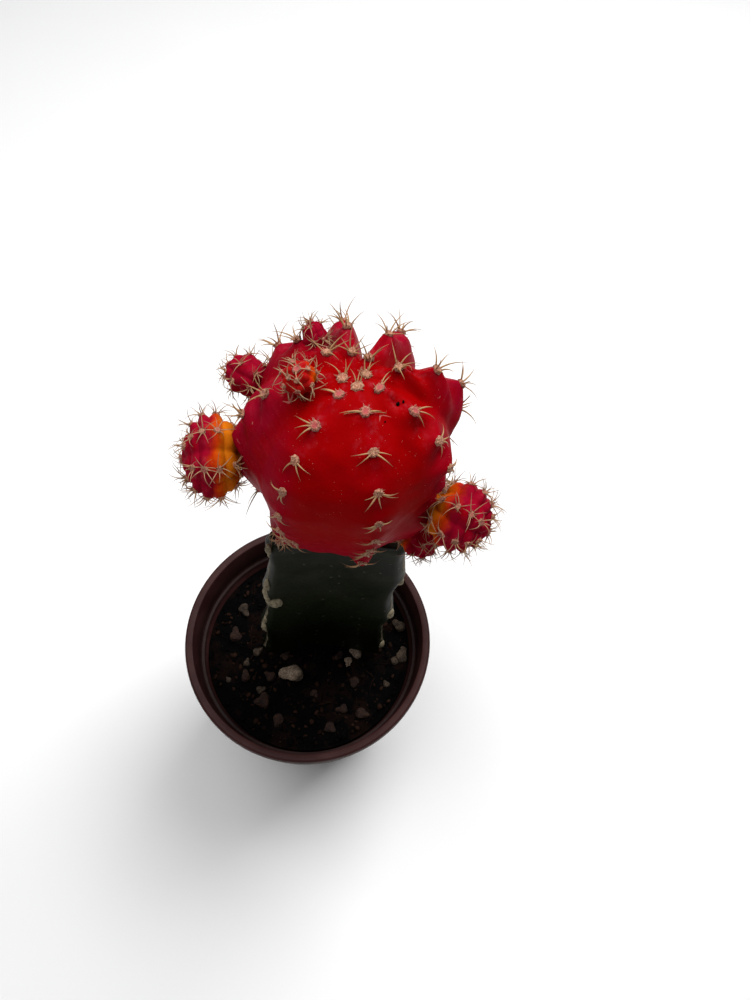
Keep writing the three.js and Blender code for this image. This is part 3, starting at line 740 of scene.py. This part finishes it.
corks = Heap()
knob = pebble(3, 0.25)
for wing, height, length, width, shift in CORK:
    toward = -1 if wing == 1 else 1  # the front face lies between the first two wings
    azimuth = WINGS[wing]["azimuth"] + toward * shift * CORK_SHIFT
    reach = stock_radius(azimuth, min(height, STOCK_TOP)) - 0.14 * width
    spot = stock_axis(height) + outwards(azimuth) * reach
    facing = Matrix.Rotation(math.radians(azimuth), 3, "Z")
    sizes = Matrix.Diagonal((width, width * 0.8, length))
    corks.add(knob, lambda point: spot + facing @ (sizes @ point), chance.random())
finished(corks.piece("cork_pads"), "cork_pads", cork(), "green_skin")

# ---------------------------------------------------------------- head
# The graft: a red cactus without leaf green, grown onto the rootstock. Eight ribs run from the
# sunken crown to the graft, rounded in front and sharp as horns behind, and the skin bulges a
# little under each areole. It is smooth, waxy and slightly translucent.

HEAD_CREST = [
    (8.2, 104.3), (9.9, 106), (12.0, 110), (15.3, 118), (17.1, 125.5), (17.6, 131),
    (16.6, 136), (14.0, 140), (10.0, 143), (5.0, 144.6), (0, 144.8),
]
HEAD_AXIS = (8.2, 8)
HEAD_LEAN = 0.03
HEAD_WIDEST = 131
HEAD_FOOT = 104.3
CREST_STEPS = 60


def rib_of(azimuth, shoulder, hip, furrow, first, pitch, chin, soft, flat=1, pleat=0):
    """One rib: where it stands; how far its crest is moved out at the shoulder and at the hip; how
    deep the furrow after it is; the way from the crown to its first areole, and from each to the
    next; how far the skin bulges under them; how round the bottom of the furrow is; how broad
    the crest is; and how far the bulges run down into the furrow."""
    return {
        "azimuth": azimuth, "shoulder": shoulder, "hip": hip, "furrow": furrow, "first": first,
        "pitch": pitch, "chin": chin, "soft": soft, "flat": flat, "pleat": pleat,
    }


RIBS = [
    rib_of(-85, shoulder=-0.5, hip=1.7, furrow=1.7, first=7.8, pitch=5.8, chin=0.85, soft=0.03),
    rib_of(-35, shoulder=-0.1, hip=1.0, furrow=1.1, first=4.0, pitch=5.6, chin=0.28, soft=0.09),
    rib_of(14, shoulder=0.2, hip=0.3, furrow=1.6, first=6.1, pitch=5.8, chin=0.28, soft=0.08),
    rib_of(59, shoulder=-0.5, hip=-1.1, furrow=2.3, first=4.0, pitch=5.8, chin=1.0, soft=0.02),
    rib_of(105, shoulder=0.8, hip=-2.2, furrow=5.2, first=6.3, pitch=6.2, chin=0.95, soft=0.004, pleat=0.8),
    rib_of(151, shoulder=-0.3, hip=0.4, furrow=7.0, first=3.9, pitch=6.4, chin=0.9, soft=0.001, flat=1.35),
    rib_of(187, shoulder=-0.3, hip=0.2, furrow=3.2, first=4.4, pitch=5.9, chin=0.9, soft=0.01, flat=1.3),
    rib_of(226, shoulder=-0.2, hip=0.6, furrow=2.4, first=5.8, pitch=6.6, chin=0.8, soft=0.02),
]
SPREAD = [  # azimuth, and how far the foot spreads there over the cut of the rootstock
    (-180, 0), (-110, 0), (-85, 2.2), (-60, 4.0), (-45, 2.6), (-30, 1.1), (-8, 0.1), (5, 0.5), (17, 3.1),
    (30, 0.6), (60, 0), (180, 0),
]
NECK = {"azimuth": 62, "way": 42.5, "height": 3.2, "width": 22, "length": 7}  # swells under an offset
BEHIND = (9, 19)  # the colours of the back come in between these places along Y
FRONT_MIDDLE = 9.8  # X of the middle of the front
ASIDE = (8, 15)  # the colours of the sides come in between these, either way from that middle
RED_DEEP = (0.285, 0.0003, 0.0003, 1)
RED_CRIMSON = (0.27, 0.0022, 0.016, 1)
RED_PALE = (0.33, 0.042, 0.058, 1)
# The next colour is scarlet, made brighter than the head's red as painted light for the crown offset, which
# sits in shade between the horns
SCARLET_BRIGHTENED = (0.38, 0.006, 0.006, 1)
RED_DUSKY = (0.125, 0.0008, 0.0045, 1)
SPECK_PINK = (0.62, 0.20, 0.16, 1)
SCRATCH_PINK = (0.60, 0.22, 0.18, 1)


def crest_curve():
    """Points along the crest of a rib from the crown down, with the way to each."""
    ends = [HEAD_CREST[0]] + HEAD_CREST + [(-5.0, 144.6)]
    points = []
    for a, b, c, d in zip(ends, ends[1:], ends[2:], ends[3:]):
        for step in range(CREST_STEPS):
            t = step / CREST_STEPS
            points.append(Vector([
                q + 0.5 * t * (r - p + (2 * p - 5 * q + 4 * r - s) * t + (3 * q - p - 3 * r + s) * t * t)
                for p, q, r, s in zip(a, b, c, d)
            ]))
    points.append(Vector(HEAD_CREST[-1]))
    points.reverse()
    ways = [0.0]
    for one, other in zip(points, points[1:]):
        ways.append(ways[-1] + (other - one).length)
    return points, ways


crest_points, crest_ways = crest_curve()
CREST_LENGTH = crest_ways[-1]


def crest_at(way):
    """Radius, height and outward normal of the plain crest surface at a way from the crown."""
    way = clamped(way, 0, CREST_LENGTH)
    low, high = 0, len(crest_ways) - 1
    while high - low > 1:
        middle = (low + high) // 2
        low, high = (middle, high) if crest_ways[middle] <= way else (low, middle)
    share = (way - crest_ways[low]) / max(crest_ways[high] - crest_ways[low], 1e-9)
    point = crest_points[low].lerp(crest_points[high], share)
    after = crest_points[min(high + 2, len(crest_points) - 1)]
    tangent = (after - crest_points[max(low - 2, 0)]).normalized()
    return point.x, point.y, -tangent.y, tangent.x


def head_axis(height):
    return Vector((HEAD_AXIS[0] + HEAD_LEAN * (height - HEAD_WIDEST), HEAD_AXIS[1], 0))


def rib_at(azimuth):
    """The rib before an azimuth, the one after it and the share of the way between them."""
    for rib, following in zip(RIBS, RIBS[1:] + RIBS[:1]):
        span = (following["azimuth"] - rib["azimuth"]) % 360
        along = (azimuth - rib["azimuth"]) % 360
        if along < span:
            return rib, following, along / span


def head_relief(azimuth, way):
    """Height of the skin over the plain crest surface, and how near it is to a crest."""
    rib, following, share = rib_at(azimuth)
    across = smooth(share, 0.25, 0.75)
    flat = mixed(rib["flat"], following["flat"], across)
    middle = min(math.sqrt((2 * share - 1) ** 2 + rib["soft"]) * flat, 1)
    sharpness = mixed(1.9 if flat == 1 else 1.25, 0.85, smooth(way, 16, 36))
    weight = 1 - (1 - middle) ** sharpness
    shoulder = mixed(rib["shoulder"], following["shoulder"], across) * math.exp(-(((way - 20) / 9) ** 2))
    hip = mixed(rib["hip"], following["hip"], across) * math.exp(-(((way - 34) / 9) ** 2))
    fading = 1.0 if rib["soft"] > 0.05 else 0.8  # the furrows in front run out at the graft
    furrow = smooth(way, 1.5, 12) * (1 - fading * smooth(way, 30, CREST_LENGTH))
    own = rib if share < 0.5 else following
    near = 2 * abs(share - 0.5)
    turns = (way - own["first"]) / own["pitch"] - own["pleat"] * (1 - near)
    chin = own["chin"] * math.cos(2 * math.pi * turns)
    chin *= mixed(max(near - 0.25, 0) ** 2 * 1.7, near, own["pleat"])
    chin *= smooth(way, 2, 8) * (1 - smooth(way, 44, CREST_LENGTH))
    aside = ((azimuth - NECK["azimuth"] + 180) % 360 - 180) / NECK["width"]
    neck = NECK["height"] * math.exp(-(aside ** 2) - ((way - NECK["way"]) / NECK["length"]) ** 2)
    return (shoulder + hip) * weight - rib["furrow"] * (1 - weight) * furrow + chin + neck, weight


def spread_at(azimuth, way):
    """How far the foot of the head reaches out over the cut."""
    azimuth = (azimuth + 180) % 360 - 180
    for (low, one), (high, other) in zip(SPREAD, SPREAD[1:]):
        if azimuth <= high:
            foot = smooth(way, CREST_LENGTH - 14, CREST_LENGTH - 3)
            return mixed(one, other, smooth(azimuth, low, high)) * foot


def head_point(azimuth, way, grow=0.0):
    radius, height, out, rise = crest_at(way)
    relief = head_relief(azimuth, way)[0] + grow
    reach = radius + relief * out + spread_at(azimuth, way)
    spot = head_axis(height) + outwards(azimuth) * max(reach, 0)
    spot.z = height + relief * rise
    return spot


def head_normal(azimuth, way):
    _, _, out, rise = crest_at(way)
    normal = outwards(azimuth) * out
    normal.z = rise
    return normal.normalized()


def head_skin_point(turn, way):
    """A point of the head, with its nearness to a crest and its way down from the crown."""
    ribs_on = turn * len(RIBS)
    rib, following = RIBS[int(ribs_on)], RIBS[(int(ribs_on) + 1) % len(RIBS)]
    span = (following["azimuth"] - rib["azimuth"]) % 360
    azimuth = rib["azimuth"] + span * (ribs_on % 1)
    if way > 0.96:  # the underside, on the cut top of the rootstock
        ring = head_point(azimuth, CREST_LENGTH)
        middle = head_axis(HEAD_FOOT)
        middle.z = HEAD_FOOT
        spot = middle.lerp(ring, (1 - way) / 0.04)
        spot.z = HEAD_FOOT
        return spot, 0.0, 1.0
    along = CREST_LENGTH * way / 0.96
    spot = head_point(azimuth, along)
    weight = head_relief(azimuth, along)[1]
    normal = head_normal(azimuth, along)
    uneven = 0.32 * noise.noise(spot * 0.16) + 0.15 * noise.noise(spot * 0.45 + Vector((7, 0, 0)))
    wrinkle = 0.05 * noise.noise(Vector((azimuth * 0.05, along * 1.5, 2))) * smooth(along, 24, 40)
    spot += normal * (uneven * smooth(along, 0, 8) + wrinkle)
    spot.z = max(spot.z, HEAD_FOOT)
    return spot, weight, along / CREST_LENGTH


def red_skin():
    """The head's skin: deep red in front and in the hollows, crimson on the sides, the back, the
    crests and lower down, with pale and dusky streaks round the head, specks and scratches."""
    made, tree, shader = material("head_skin", Specular_IOR_Level=0.012, Subsurface_Weight=0.06)
    shader["Specular Tint"].default_value = (1.0, 0.45, 0.5, 1)
    shader["Subsurface Radius"].default_value = (1.0, 0.12, 0.08)
    shader["Subsurface Scale"].default_value = 1.6 * MM
    crest = mark_of(tree, "crest")
    down = mark_of(tree, "down")
    behind = step_of(tree, place_of(tree, "Y"), BEHIND[0] * MM, BEHIND[1] * MM)
    aside = reckoned(tree, "ADD", place_of(tree, "X"), -FRONT_MIDDLE * MM)
    aside = step_of(tree, reckoned(tree, "ABSOLUTE", aside), ASIDE[0] * MM, ASIDE[1] * MM)
    off = reckoned(tree, "MAXIMUM", behind, aside)
    share = plus(tree, step_of(tree, crest, 0.35, 1.0), 0.6)
    share = times(tree, share, plus(tree, times(tree, off, 0.8), 0.06))
    share = plus(tree, share, times(tree, step_of(tree, down, 0.5, 0.9), 0.65))
    share = plus(tree, share, times(tree, step_of(tree, crest, 0.97, 1.0), 0.1))
    share = times(tree, share, patches(tree, 6.5, 0.12, 0.55, detail=4))
    colour = blend_of(tree, share, RED_DEEP, RED_CRIMSON)
    # Streaks run round the head, from each furrow to the crests beside it
    place = put(tree, "Mapping", {"Vector": put(tree, "UVMap", uv_map="UVMap"), "Scale": (30, 90, 1)})
    streaks = {"Vector": place, "Scale": 1.0, "Detail": 4.0, "Roughness": 0.6, "Distortion": 0.6}
    streaks = put(tree, "TexNoise", streaks)
    strong = plus(tree, aside, step_of(tree, down, 0.5, 0.9))
    dusky = times(tree, step_of(tree, streaks, 0.50, 0.32), strong)
    colour = blend_of(tree, times(tree, dusky, 0.3), colour, RED_DUSKY)
    strong = plus(tree, aside, step_of(tree, down, 0.6, 0.95))
    streaky = times(tree, step_of(tree, streaks, 0.52, 0.80), strong)
    # The crests near the crown and behind are painted pale, a painted highlight where the light from behind
    # falls on them
    rim = times(tree, step_of(tree, crest, 0.6, 1.0), patches(tree, 1.3, 0.47, 0.72, detail=6, rough=0.7))
    rim = times(tree, rim, plus(tree, behind, step_of(tree, down, 0.34, 0.12)))
    paler = plus(tree, times(tree, streaky, 0.30), times(tree, rim, 0.40))
    colour = blend_of(tree, paler, colour, RED_PALE)
    specks = times(tree, flecked(tree, 0.5, 0.062, 0.5), patches(tree, 4, 0.40, 0.65, detail=2))
    colour = blend_of(tree, specks, colour, SPECK_PINK)
    # A scratch is a thin line of equal height in slow noise, broken into short lengths
    surface = put(tree, "TexCoord", give="Object")
    slow = put(tree, "TexNoise", {"Vector": surface, "Scale": 140.0, "Detail": 1.0})
    line = step_of(tree, reckoned(tree, "COMPARE", slow, 0.5, 0.0035), 0.0, 1.0)
    line = times(tree, line, patches(tree, 3.2, 0.66, 0.70, detail=2))
    colour = blend_of(tree, times(tree, line, 0.5), colour, SCRATCH_PINK)
    tree.links.new(colour, shader["Base Color"])
    rough = between(tree, grain_of(tree, 2.5, detail=5), 0.34, 0.58)
    tree.links.new(plus(tree, rough, times(tree, line, 0.3)), shader["Roughness"])
    normal = bumped(tree, times(tree, streaks, off), 0.03)
    normal = bumped(tree, grain_of(tree, 0.7, detail=4), 0.035, below=normal)
    tree.links.new(bumped(tree, plus(tree, specks, line), 0.03, below=normal), shader["Normal"])
    return made


head = skinned("head_flesh", len(RIBS) * 34, 200, head_skin_point, "crest", "down")
finished(head, "head_flesh", red_skin(), "red_skin", "head")

# ---------------------------------------------------------------- offsets
# Young heads that sprout from the big one: a ball on each side, a smaller one under each, two
# behind and a woolly one by the crown. Each is a knot of round tubercles, and four of them turn
# orange where they are joined.

AMBER_DEEP = (0.48, 0.030, 0.002, 1)
AMBER_PALE = (0.57, 0.150, 0.005, 1)
OFFSET_SPECK = (0.62, 0.22, 0.18, 1)


def offset_of(centre, crown, size, rings, amber=1.2, wool=1, bare=0.08, flesh=RED_CRIMSON):
    """One offset: its centre; the way its crown looks; its width and length; its rings of areoles;
    how close to the joined side the orange keeps, with hardly any at 1.2; how woolly its areoles
    are; the share of its spines that are missing; and the colour of its flesh."""
    return {
        "centre": centre, "crown": crown, "size": size, "rings": rings,
        "amber": amber, "wool": wool, "bare": bare, "flesh": flesh,
    }


OFFSETS = {
    "offset_left": offset_of((-13.8, 5.2, 126.0), (-1, -0.15, 0.1), (14.2, 9.7), rings=5, amber=0.2),
    "offset_right": offset_of((26.9, -1.3, 120.2), (0.85, -0.5, -0.1), (12.4, 10.6), rings=5, amber=0.42),
    "offset_right_low": offset_of((21.0, -0.6, 109.6), (0.7, -0.6, -0.4), (6.8, 7.4), rings=3, amber=0.4),
    "offset_back_left": offset_of((-8.6, 16.8, 132.8), (-0.9, 0.45, 0.15), (6.8, 7.2), rings=3),
    # The crown offset's scarlet flesh is brightened as painted light, against the shade between the horns
    "offset_crown": offset_of(
        (0.7, 6.6, 145.9), (-0.1, -0.15, 1), (5.2, 4.6), rings=3,
        amber=0.75, wool=1.2, bare=0.55, flesh=SCARLET_BRIGHTENED,
    ),
    "offset_back": offset_of((2.4, 16.9, 142.8), (-0.3, 0.6, 0.7), (3.9, 4.4), rings=2),
    "offset_low_left": offset_of((-2.5, -0.4, 110.5), (-0.7, -0.7, -0.3), (3.8, 4.4), rings=2),
}
OFFSET_RIBS = 7
OFFSET_FURROW = 0.135
OFFSET_NOTCH = 0.11
OFFSET_SPAN = 72  # degrees of latitude either way that carry areoles
OFFSET_CROWD = 1.4  # how much closer the areoles stand towards the crown


def offset_frame(offset):
    turned = Vector((0, 0, 1)).rotation_difference(Vector(offset["crown"]).normalized())
    return Matrix.Translation(Vector(offset["centre"])) @ turned.to_matrix().to_4x4()


def offset_spot(offset, turn, latitude, grow=0.0):
    """A point of an offset about its own centre: an egg whose skin bulges under each areole."""
    width, length = offset["size"]
    across = abs((turn * OFFSET_RIBS + 0.5) % 1 - 0.5) * 2
    ring = clamped((math.degrees(latitude) + OFFSET_SPAN) / (2 * OFFSET_SPAN), 0, 1.1)
    ring = ring ** OFFSET_CROWD * offset["rings"]
    along = abs(ring % 1 - 0.5) * 2 if ring < offset["rings"] + 0.3 else 1.0
    ending = smooth(abs(math.degrees(latitude)), 86, 60)
    dip = OFFSET_FURROW * across ** 1.6 + OFFSET_NOTCH * along ** 1.8 * (1 - 0.5 * across)
    relief = 1.02 - dip * ending + grow
    level = outwards(turn * 360) * (width / 2 * relief * math.cos(latitude))
    return level + Vector((0, 0, length / 2 * relief * math.sin(latitude)))


def offset_skin(name, reach, flesh):
    """An offset's skin: crimson tubercles, going over to orange on the side that is joined."""
    made, tree, shader = material(name, Specular_IOR_Level=0.012, Subsurface_Weight=0.06)
    shader["Specular Tint"].default_value = (1.0, 0.5, 0.5, 1)
    shader["Subsurface Radius"].default_value = (1.0, 0.15, 0.08)
    shader["Subsurface Scale"].default_value = 1.2 * MM
    colour = blend_of(tree, patches(tree, 2.6, 0.22, 0.48, detail=4), RED_DEEP, flesh)
    streaky = patches(tree, 0.9, 0.5, 0.75, detail=5, rough=0.65)
    bulge = times(tree, step_of(tree, mark_of(tree, "bulge"), 0.45, 1.0), streaky)
    colour = blend_of(tree, times(tree, bulge, 0.45), colour, RED_PALE)
    patchy = reckoned(tree, "MULTIPLY", grain_of(tree, 2.8, detail=3), 0.9)
    joined = reckoned(tree, "ADD", mark_of(tree, "joined"), patchy)
    colour = blend_of(tree, step_of(tree, joined, reach + 0.10, reach + 0.50), colour, AMBER_DEEP)
    colour = blend_of(tree, step_of(tree, joined, reach + 0.38, reach + 0.85), colour, AMBER_PALE)
    specks = times(tree, flecked(tree, 1.0, 0.09, 0.4), 0.5)
    tree.links.new(blend_of(tree, specks, colour, OFFSET_SPECK), shader["Base Color"])
    rough = between(tree, grain_of(tree, 1.5, detail=4), 0.36, 0.6)
    tree.links.new(rough, shader["Roughness"])
    tree.links.new(bumped(tree, grain_of(tree, 0.6, detail=5), 0.05), shader["Normal"])
    return made


for name, offset in OFFSETS.items():
    whole = offset_frame(offset)
    centre = Vector(offset["centre"])
    width, length = offset["size"]
    toward_head = whole.inverted().to_3x3() @ (Vector((*HEAD_AXIS, centre.z)) - centre)
    toward_head.normalize()

    def offset_skin_point(turn, way):
        """A point of the offset, with its place on a bulge and how far it looks to the head."""
        latitude = math.pi * (0.5 - way)
        spot = offset_spot(offset, turn, latitude)
        plain = Vector((spot.x / width, spot.y / width, spot.z / length)) * 2
        bulge = smooth(plain.length, 0.84, 1.0)
        spot += spot.normalized() * 0.12 * noise.noise(spot * 0.8 + centre)
        return whole @ spot, bulge, plain.normalized().dot(toward_head)

    rows = offset["rings"] * 20 + 16
    body = skinned(name, OFFSET_RIBS * 14, rows, offset_skin_point, "bulge", "joined")
    made = offset_skin(name + "_skin", offset["amber"], offset["flesh"])
    finished(body, name + "_flesh", made, "offset_skin", name)

# ---------------------------------------------------------------- areoles and spines
# Each areole is a small cushion of pinkish felt on a rib. Tan, curved, tapering spines grow out
# of it: flat on the skin in front, standing out behind, and as thin as hairs on the offsets.

PLEATS = 7
AREOLE_SIZE = 1.75
SPINE_LONG = 3.7  # on the horns behind
SPINE_SHORT = 2.5  # in front
SPINE_WIDTH = 0.29
HAIR_WIDTH = 0.18
FRONT_FANS = {  # for each areole down a rib: degrees from the way down it, to the right
    -35: [
        (-82, -72), (-80, -58, -25), (48, 86, -35), (-88, -98, -14, 6), (-40, 0, 25),
        (-70, -30, 10, 50),
    ],
    14: [
        (72, 80, -92, -100), (76, 50, -66, -92), (-62, -42, 0, 56, 68), (-72, -55, -44, 12, 72),
        (-70, -54, -42, 30, 65),
    ],
    59: [
        (85, 100), (66, 36, -18), (105, 68, -22, 44), (76, 95, 30, -20), (70, 95, 10),
        (60, 90, 0),
    ],
}
CROWN_AREOLES = [(-78, 1.9), (9, 1.8), (105, 1.6)]  # azimuth and way
BACK_FAN = (160, 110, 60, 10, -45, -95, -150)
FELT_BROWN = (0.28, 0.105, 0.062, 1)
FELT_PALE = (0.56, 0.300, 0.185, 1)
HEART_PINK = (0.46, 0.085, 0.085, 1)
HEAD_HORN = ((0.44, 0.255, 0.110, 1), (0.21, 0.092, 0.038, 1))  # at the root and at the tip
OFFSET_HORN = ((0.47, 0.285, 0.150, 1), (0.16, 0.080, 0.040, 1))
DUST_CRUMBS = [(60, 7.4, 0.8), (64, 7.9, 0.5), (33, 8.2, 0.32)]  # azimuth, way and size


def areole(spot, normal, down, size, fresh, **spines):
    """One areole, how pink its felt is, and its spines: fan, the ways they grow; length and width;
    lean, from upright; sag, towards the skin; hook, to the side; stray, off the fan's ways; and
    bare, the share that is missing."""
    return {"spot": spot, "normal": normal, "down": down, "size": size, "fresh": fresh, **spines}


def head_areoles():
    found = []
    front = {
        "length": SPINE_SHORT, "width": SPINE_WIDTH, "lean": (58, 78), "sag": (0.35, 0.85),
        "hook": 0.2, "stray": 5, "bare": 0,
    }
    back = {
        "length": SPINE_LONG, "width": SPINE_WIDTH * 0.9, "lean": (14, 56), "sag": (0.05, 0.45),
        "hook": 0.45, "stray": 20, "bare": 0.15, "fan": BACK_FAN,
    }
    for rib in RIBS:
        azimuth, way, number = rib["azimuth"], rib["first"], 0
        fans = FRONT_FANS.get(azimuth)
        while way < CREST_LENGTH - 7:
            spot = head_point(azimuth, way, -0.05)
            down = (head_point(azimuth, way + 1) - head_point(azimuth, way - 1)).normalized()
            spines = {**front, "fan": fans[min(number, len(fans) - 1)]} if fans else {**back}
            spines["length"] *= 1 + 0.25 * smooth(way, 25, 36)
            fresh = 1 - smooth(way, 9.9, 11) if fans else 0.2
            size = AREOLE_SIZE * mixed(0.86, 1, fresh)
            normal = head_normal(azimuth, way)
            normal.z = max(normal.z, -0.12)  # the low ones are pushed up by those below
            down = (down - normal * down.dot(normal)).normalized()
            found.append(areole(spot, normal.normalized(), down, size, fresh, **spines))
            way += rib["pitch"]
            number += 1
    crown = {**back, "fan": (170, 150, -165), "length": 2.6, "lean": (30, 60)}
    for azimuth, way in CROWN_AREOLES:
        spot = head_point(azimuth, way, -0.1)
        found.append(areole(spot, Vector((0, 0, 1)), outwards(0), AREOLE_SIZE * 1.1, 0.3, **crown))
    return found


def offset_areoles(offset):
    found = []
    whole = offset_frame(offset)
    turned = whole.to_3x3()
    width, tall = offset["size"]
    size = clamped(width * 0.11, 0.7, 1.2) * offset["wool"]
    spines = {
        "length": clamped(width * 0.26, 2.2, 3.1), "width": HAIR_WIDTH, "lean": (14, 66),
        "sag": (0.2, 0.6), "hook": 0.5, "stray": 18, "bare": offset["bare"], "fan": BACK_FAN,
    }
    for ring in range(1, offset["rings"] + 1):
        share = ((ring - 0.5) / offset["rings"]) ** (1 / OFFSET_CROWD)
        latitude = math.radians(mixed(-OFFSET_SPAN, OFFSET_SPAN, share))
        for rib in range(0, OFFSET_RIBS, 2 if ring == offset["rings"] else 1):
            spot = offset_spot(offset, rib / OFFSET_RIBS, latitude, -0.01)
            normal = Vector((spot.x / width ** 2, spot.y / width ** 2, spot.z / tall ** 2)).normalized()
            down = outwards(360 * rib / OFFSET_RIBS) * math.sin(latitude)
            down -= Vector((0, 0, math.cos(latitude)))
            found.append(areole(whole @ spot, turned @ normal, turned @ down, size, 0.35, **spines))
    top = whole @ offset_spot(offset, 0, math.pi / 2, -0.02)
    up, level = turned @ Vector((0, 0, 1)), turned @ Vector((0, 1, 0))
    found.append(areole(top, up, level, size * 1.5, 0.8, **spines))
    return found


def out_of_head(spot):
    """How far a point lies outside the head's skin."""
    level = spot - head_axis(spot.z)
    azimuth = math.degrees(math.atan2(level.x, -level.y))
    radius = math.hypot(level.x, level.y)
    nearest, clearance = 1e9, 0.0
    for mark in range(46):
        way = CREST_LENGTH * mark / 45
        at_radius, at_height, out, rise = crest_at(way)
        across, above = radius - at_radius, spot.z - at_height
        if math.hypot(across, above) < nearest:
            nearest = math.hypot(across, above)
            clearance = across * out + above * rise - head_relief(azimuth, way)[0]
    return clearance


def in_offset(spot, offset, margin):
    local = offset_frame(offset).inverted() @ spot
    across, tall = (size / 2 + margin for size in offset["size"])
    return (local.x ** 2 + local.y ** 2) / across ** 2 + local.z ** 2 / tall ** 2 < 1


def free(spot, owner):
    """True where an areole isn't buried in another head."""
    others = [offset for name, offset in OFFSETS.items() if name != owner]
    if any(in_offset(spot, offset, 0.2) for offset in others):
        return False
    return owner == "head" or out_of_head(spot) > 0.1


def rosette(segments):
    """A round of pleated felt, 1 across, sunk in the middle, where its pink heart stands up."""
    bpy.ops.object.select_all(action="DESELECT")
    bpy.ops.mesh.primitive_uv_sphere_add(segments=segments, ring_count=10, radius=1)
    body = bpy.context.object
    hearts = []
    for point in body.data.vertices:
        around, out = math.atan2(point.co.y, point.co.x), math.hypot(point.co.x, point.co.y)
        ring = 0.30 * math.exp(-(((out - 0.66) / 0.22) ** 2)) + 0.20 * math.exp(-((out / 0.26) ** 2))
        top = point.co.z > 0
        pleat = 1 + 0.07 * out * math.cos(PLEATS * around) + 0.06 * noise.noise(point.co * 1.7)
        hearts.append(1 - 0.75 * smooth(out, 0.3, 0.75) if top else 0.0)
        rise = (0.12 + ring * (1 + 0.25 * math.cos(PLEATS * around))) * (1 - out ** 8) if top else -0.25
        point.co = Vector((point.co.x * 0.5 * pleat, point.co.y * 0.5 * pleat, rise))
    return form_of(body, hearts)


def felt_wool():
    soft = {"Specular_IOR_Level": 0.1, "Sheen_Weight": 0.25, "Sheen_Roughness": 0.5}
    made, tree, shader = material("areole_felt", roughness=0.9, **soft)
    tuft = patches(tree, 0.28, 0.38, 0.66, detail=4)
    colour = blend_of(tree, tuft, FELT_BROWN, FELT_PALE)
    heart = times(tree, mark_of(tree, "end"), step_of(tree, mark_of(tree, "shade"), 0.15, 0.75))
    tree.links.new(blend_of(tree, heart, colour, HEART_PINK), shader["Base Color"])
    tree.links.new(bumped(tree, grain_of(tree, 0.16, detail=4), 0.12), shader["Normal"])
    return made


def spine_skin(name, root, tip):
    """Dry horn, pale at the root and darker to the tip, a little different on each spine."""
    made, tree, shader = material(name, roughness=0.5, Specular_IOR_Level=0.4)
    own = plus(tree, mark_of(tree, "shade"), 0.2)
    end = times(tree, step_of(tree, mark_of(tree, "end"), 0.35, 1.0), own)
    colour = blend_of(tree, end, root, tip)
    streaky = patches(tree, 0.5, 0.4, 0.7, detail=3)
    tree.links.new(blend_of(tree, times(tree, streaky, 0.35), colour, tip), shader["Base Color"])
    tree.links.new(bumped(tree, grain_of(tree, 0.2, detail=2), 0.03), shader["Normal"])
    return made


cushions = {True: rosette(27), False: rosette(18)}
pleat = strand(4, 2, 0.25)
spine = strand(6, 8, 0.12)
hair = strand(4, 6, 0.25)
wool_felt = felt_wool()
head_horn = spine_skin("head_spine_horn", *HEAD_HORN)
offset_horn = spine_skin("offset_spine_horn", *OFFSET_HORN)


def clothed(owner, areoles, large):
    """Makes the felt and the spines of one head."""
    felt, fans = Heap(), Heap()
    for one in areoles:
        if not free(one["spot"], owner):
            continue
        spot, normal, down, size = one["spot"], one["normal"], one["down"], one["size"]
        side = normal.cross(down).normalized()
        basis = Matrix((side, normal.cross(side), normal)).transposed()
        basis = basis @ Matrix.Rotation(chance.uniform(0, 6.3), 3, "Z")
        fresh = clamped(one["fresh"] + chance.uniform(-0.2, 0.2))
        sizes = (size * chance.uniform(0.75, 0.95), size * chance.uniform(0.9, 1.15), size * 0.62)
        lift = Matrix.Diagonal(sizes)
        felt.add(cushions[large], lambda point: spot + basis @ (lift @ point), fresh)
        for number in range(2 * PLEATS):
            turned = math.pi * number / PLEATS + chance.uniform(-0.3, 0.3)
            around = side * math.cos(turned) + down * math.sin(turned)
            way = (normal + around * chance.uniform(0.0, 1.3)).normalized()
            length = size * chance.uniform(0.22, 0.42)
            root = spot + around * chance.uniform(0.2, 0.38) * size
            felt.add(pleat, bent_along(root, way, around * 0.1, length, size * 0.13), fresh * 0.5)
        for angle in one["fan"]:
            if chance.random() < one["bare"]:
                continue
            angle = math.radians(angle + chance.uniform(-one["stray"], one["stray"]))
            lean = math.radians(chance.uniform(*one["lean"]))
            around = down * math.cos(angle) + side * math.sin(angle)
            way = normal * math.cos(lean) + around * math.sin(lean)
            across = normal.cross(around)
            sag = -normal * chance.uniform(*one["sag"]) + across * chance.uniform(-one["hook"], one["hook"])
            length = one["length"] * chance.uniform(0.75, 1.2)
            root = spot + around * 0.3 * size + normal * 0.06 * size
            width = one["width"] * chance.uniform(0.8, 1.15)
            place = bent_along(root, way, sag + around * 0.1, length, width)
            fans.add(spine if large else hair, place, chance.random())
    slot, horn = ("red_skin", head_horn) if large else ("offset_skin", offset_horn)
    finished(felt.piece(owner + "_felt"), owner + "_felt", wool_felt, slot)
    finished(fans.piece(owner + "_spines"), owner + "_spines", horn, slot)


clothed("head", head_areoles(), True)
dust = Heap()  # crumbs of peat that fell on the head
dust_crumb = pebble(3, 0.7)
for azimuth, way, size in DUST_CRUMBS:
    place = tumbled(head_point(azimuth, way, 0.1), (size, size * 0.7, size * 0.6))
    dust.add(dust_crumb, place, 0.5)
finished(dust.piece("peat_dust"), "peat_dust", crumb_peat, "red_skin")
for name, offset in OFFSETS.items():
    clothed(name, offset_areoles(offset), False)
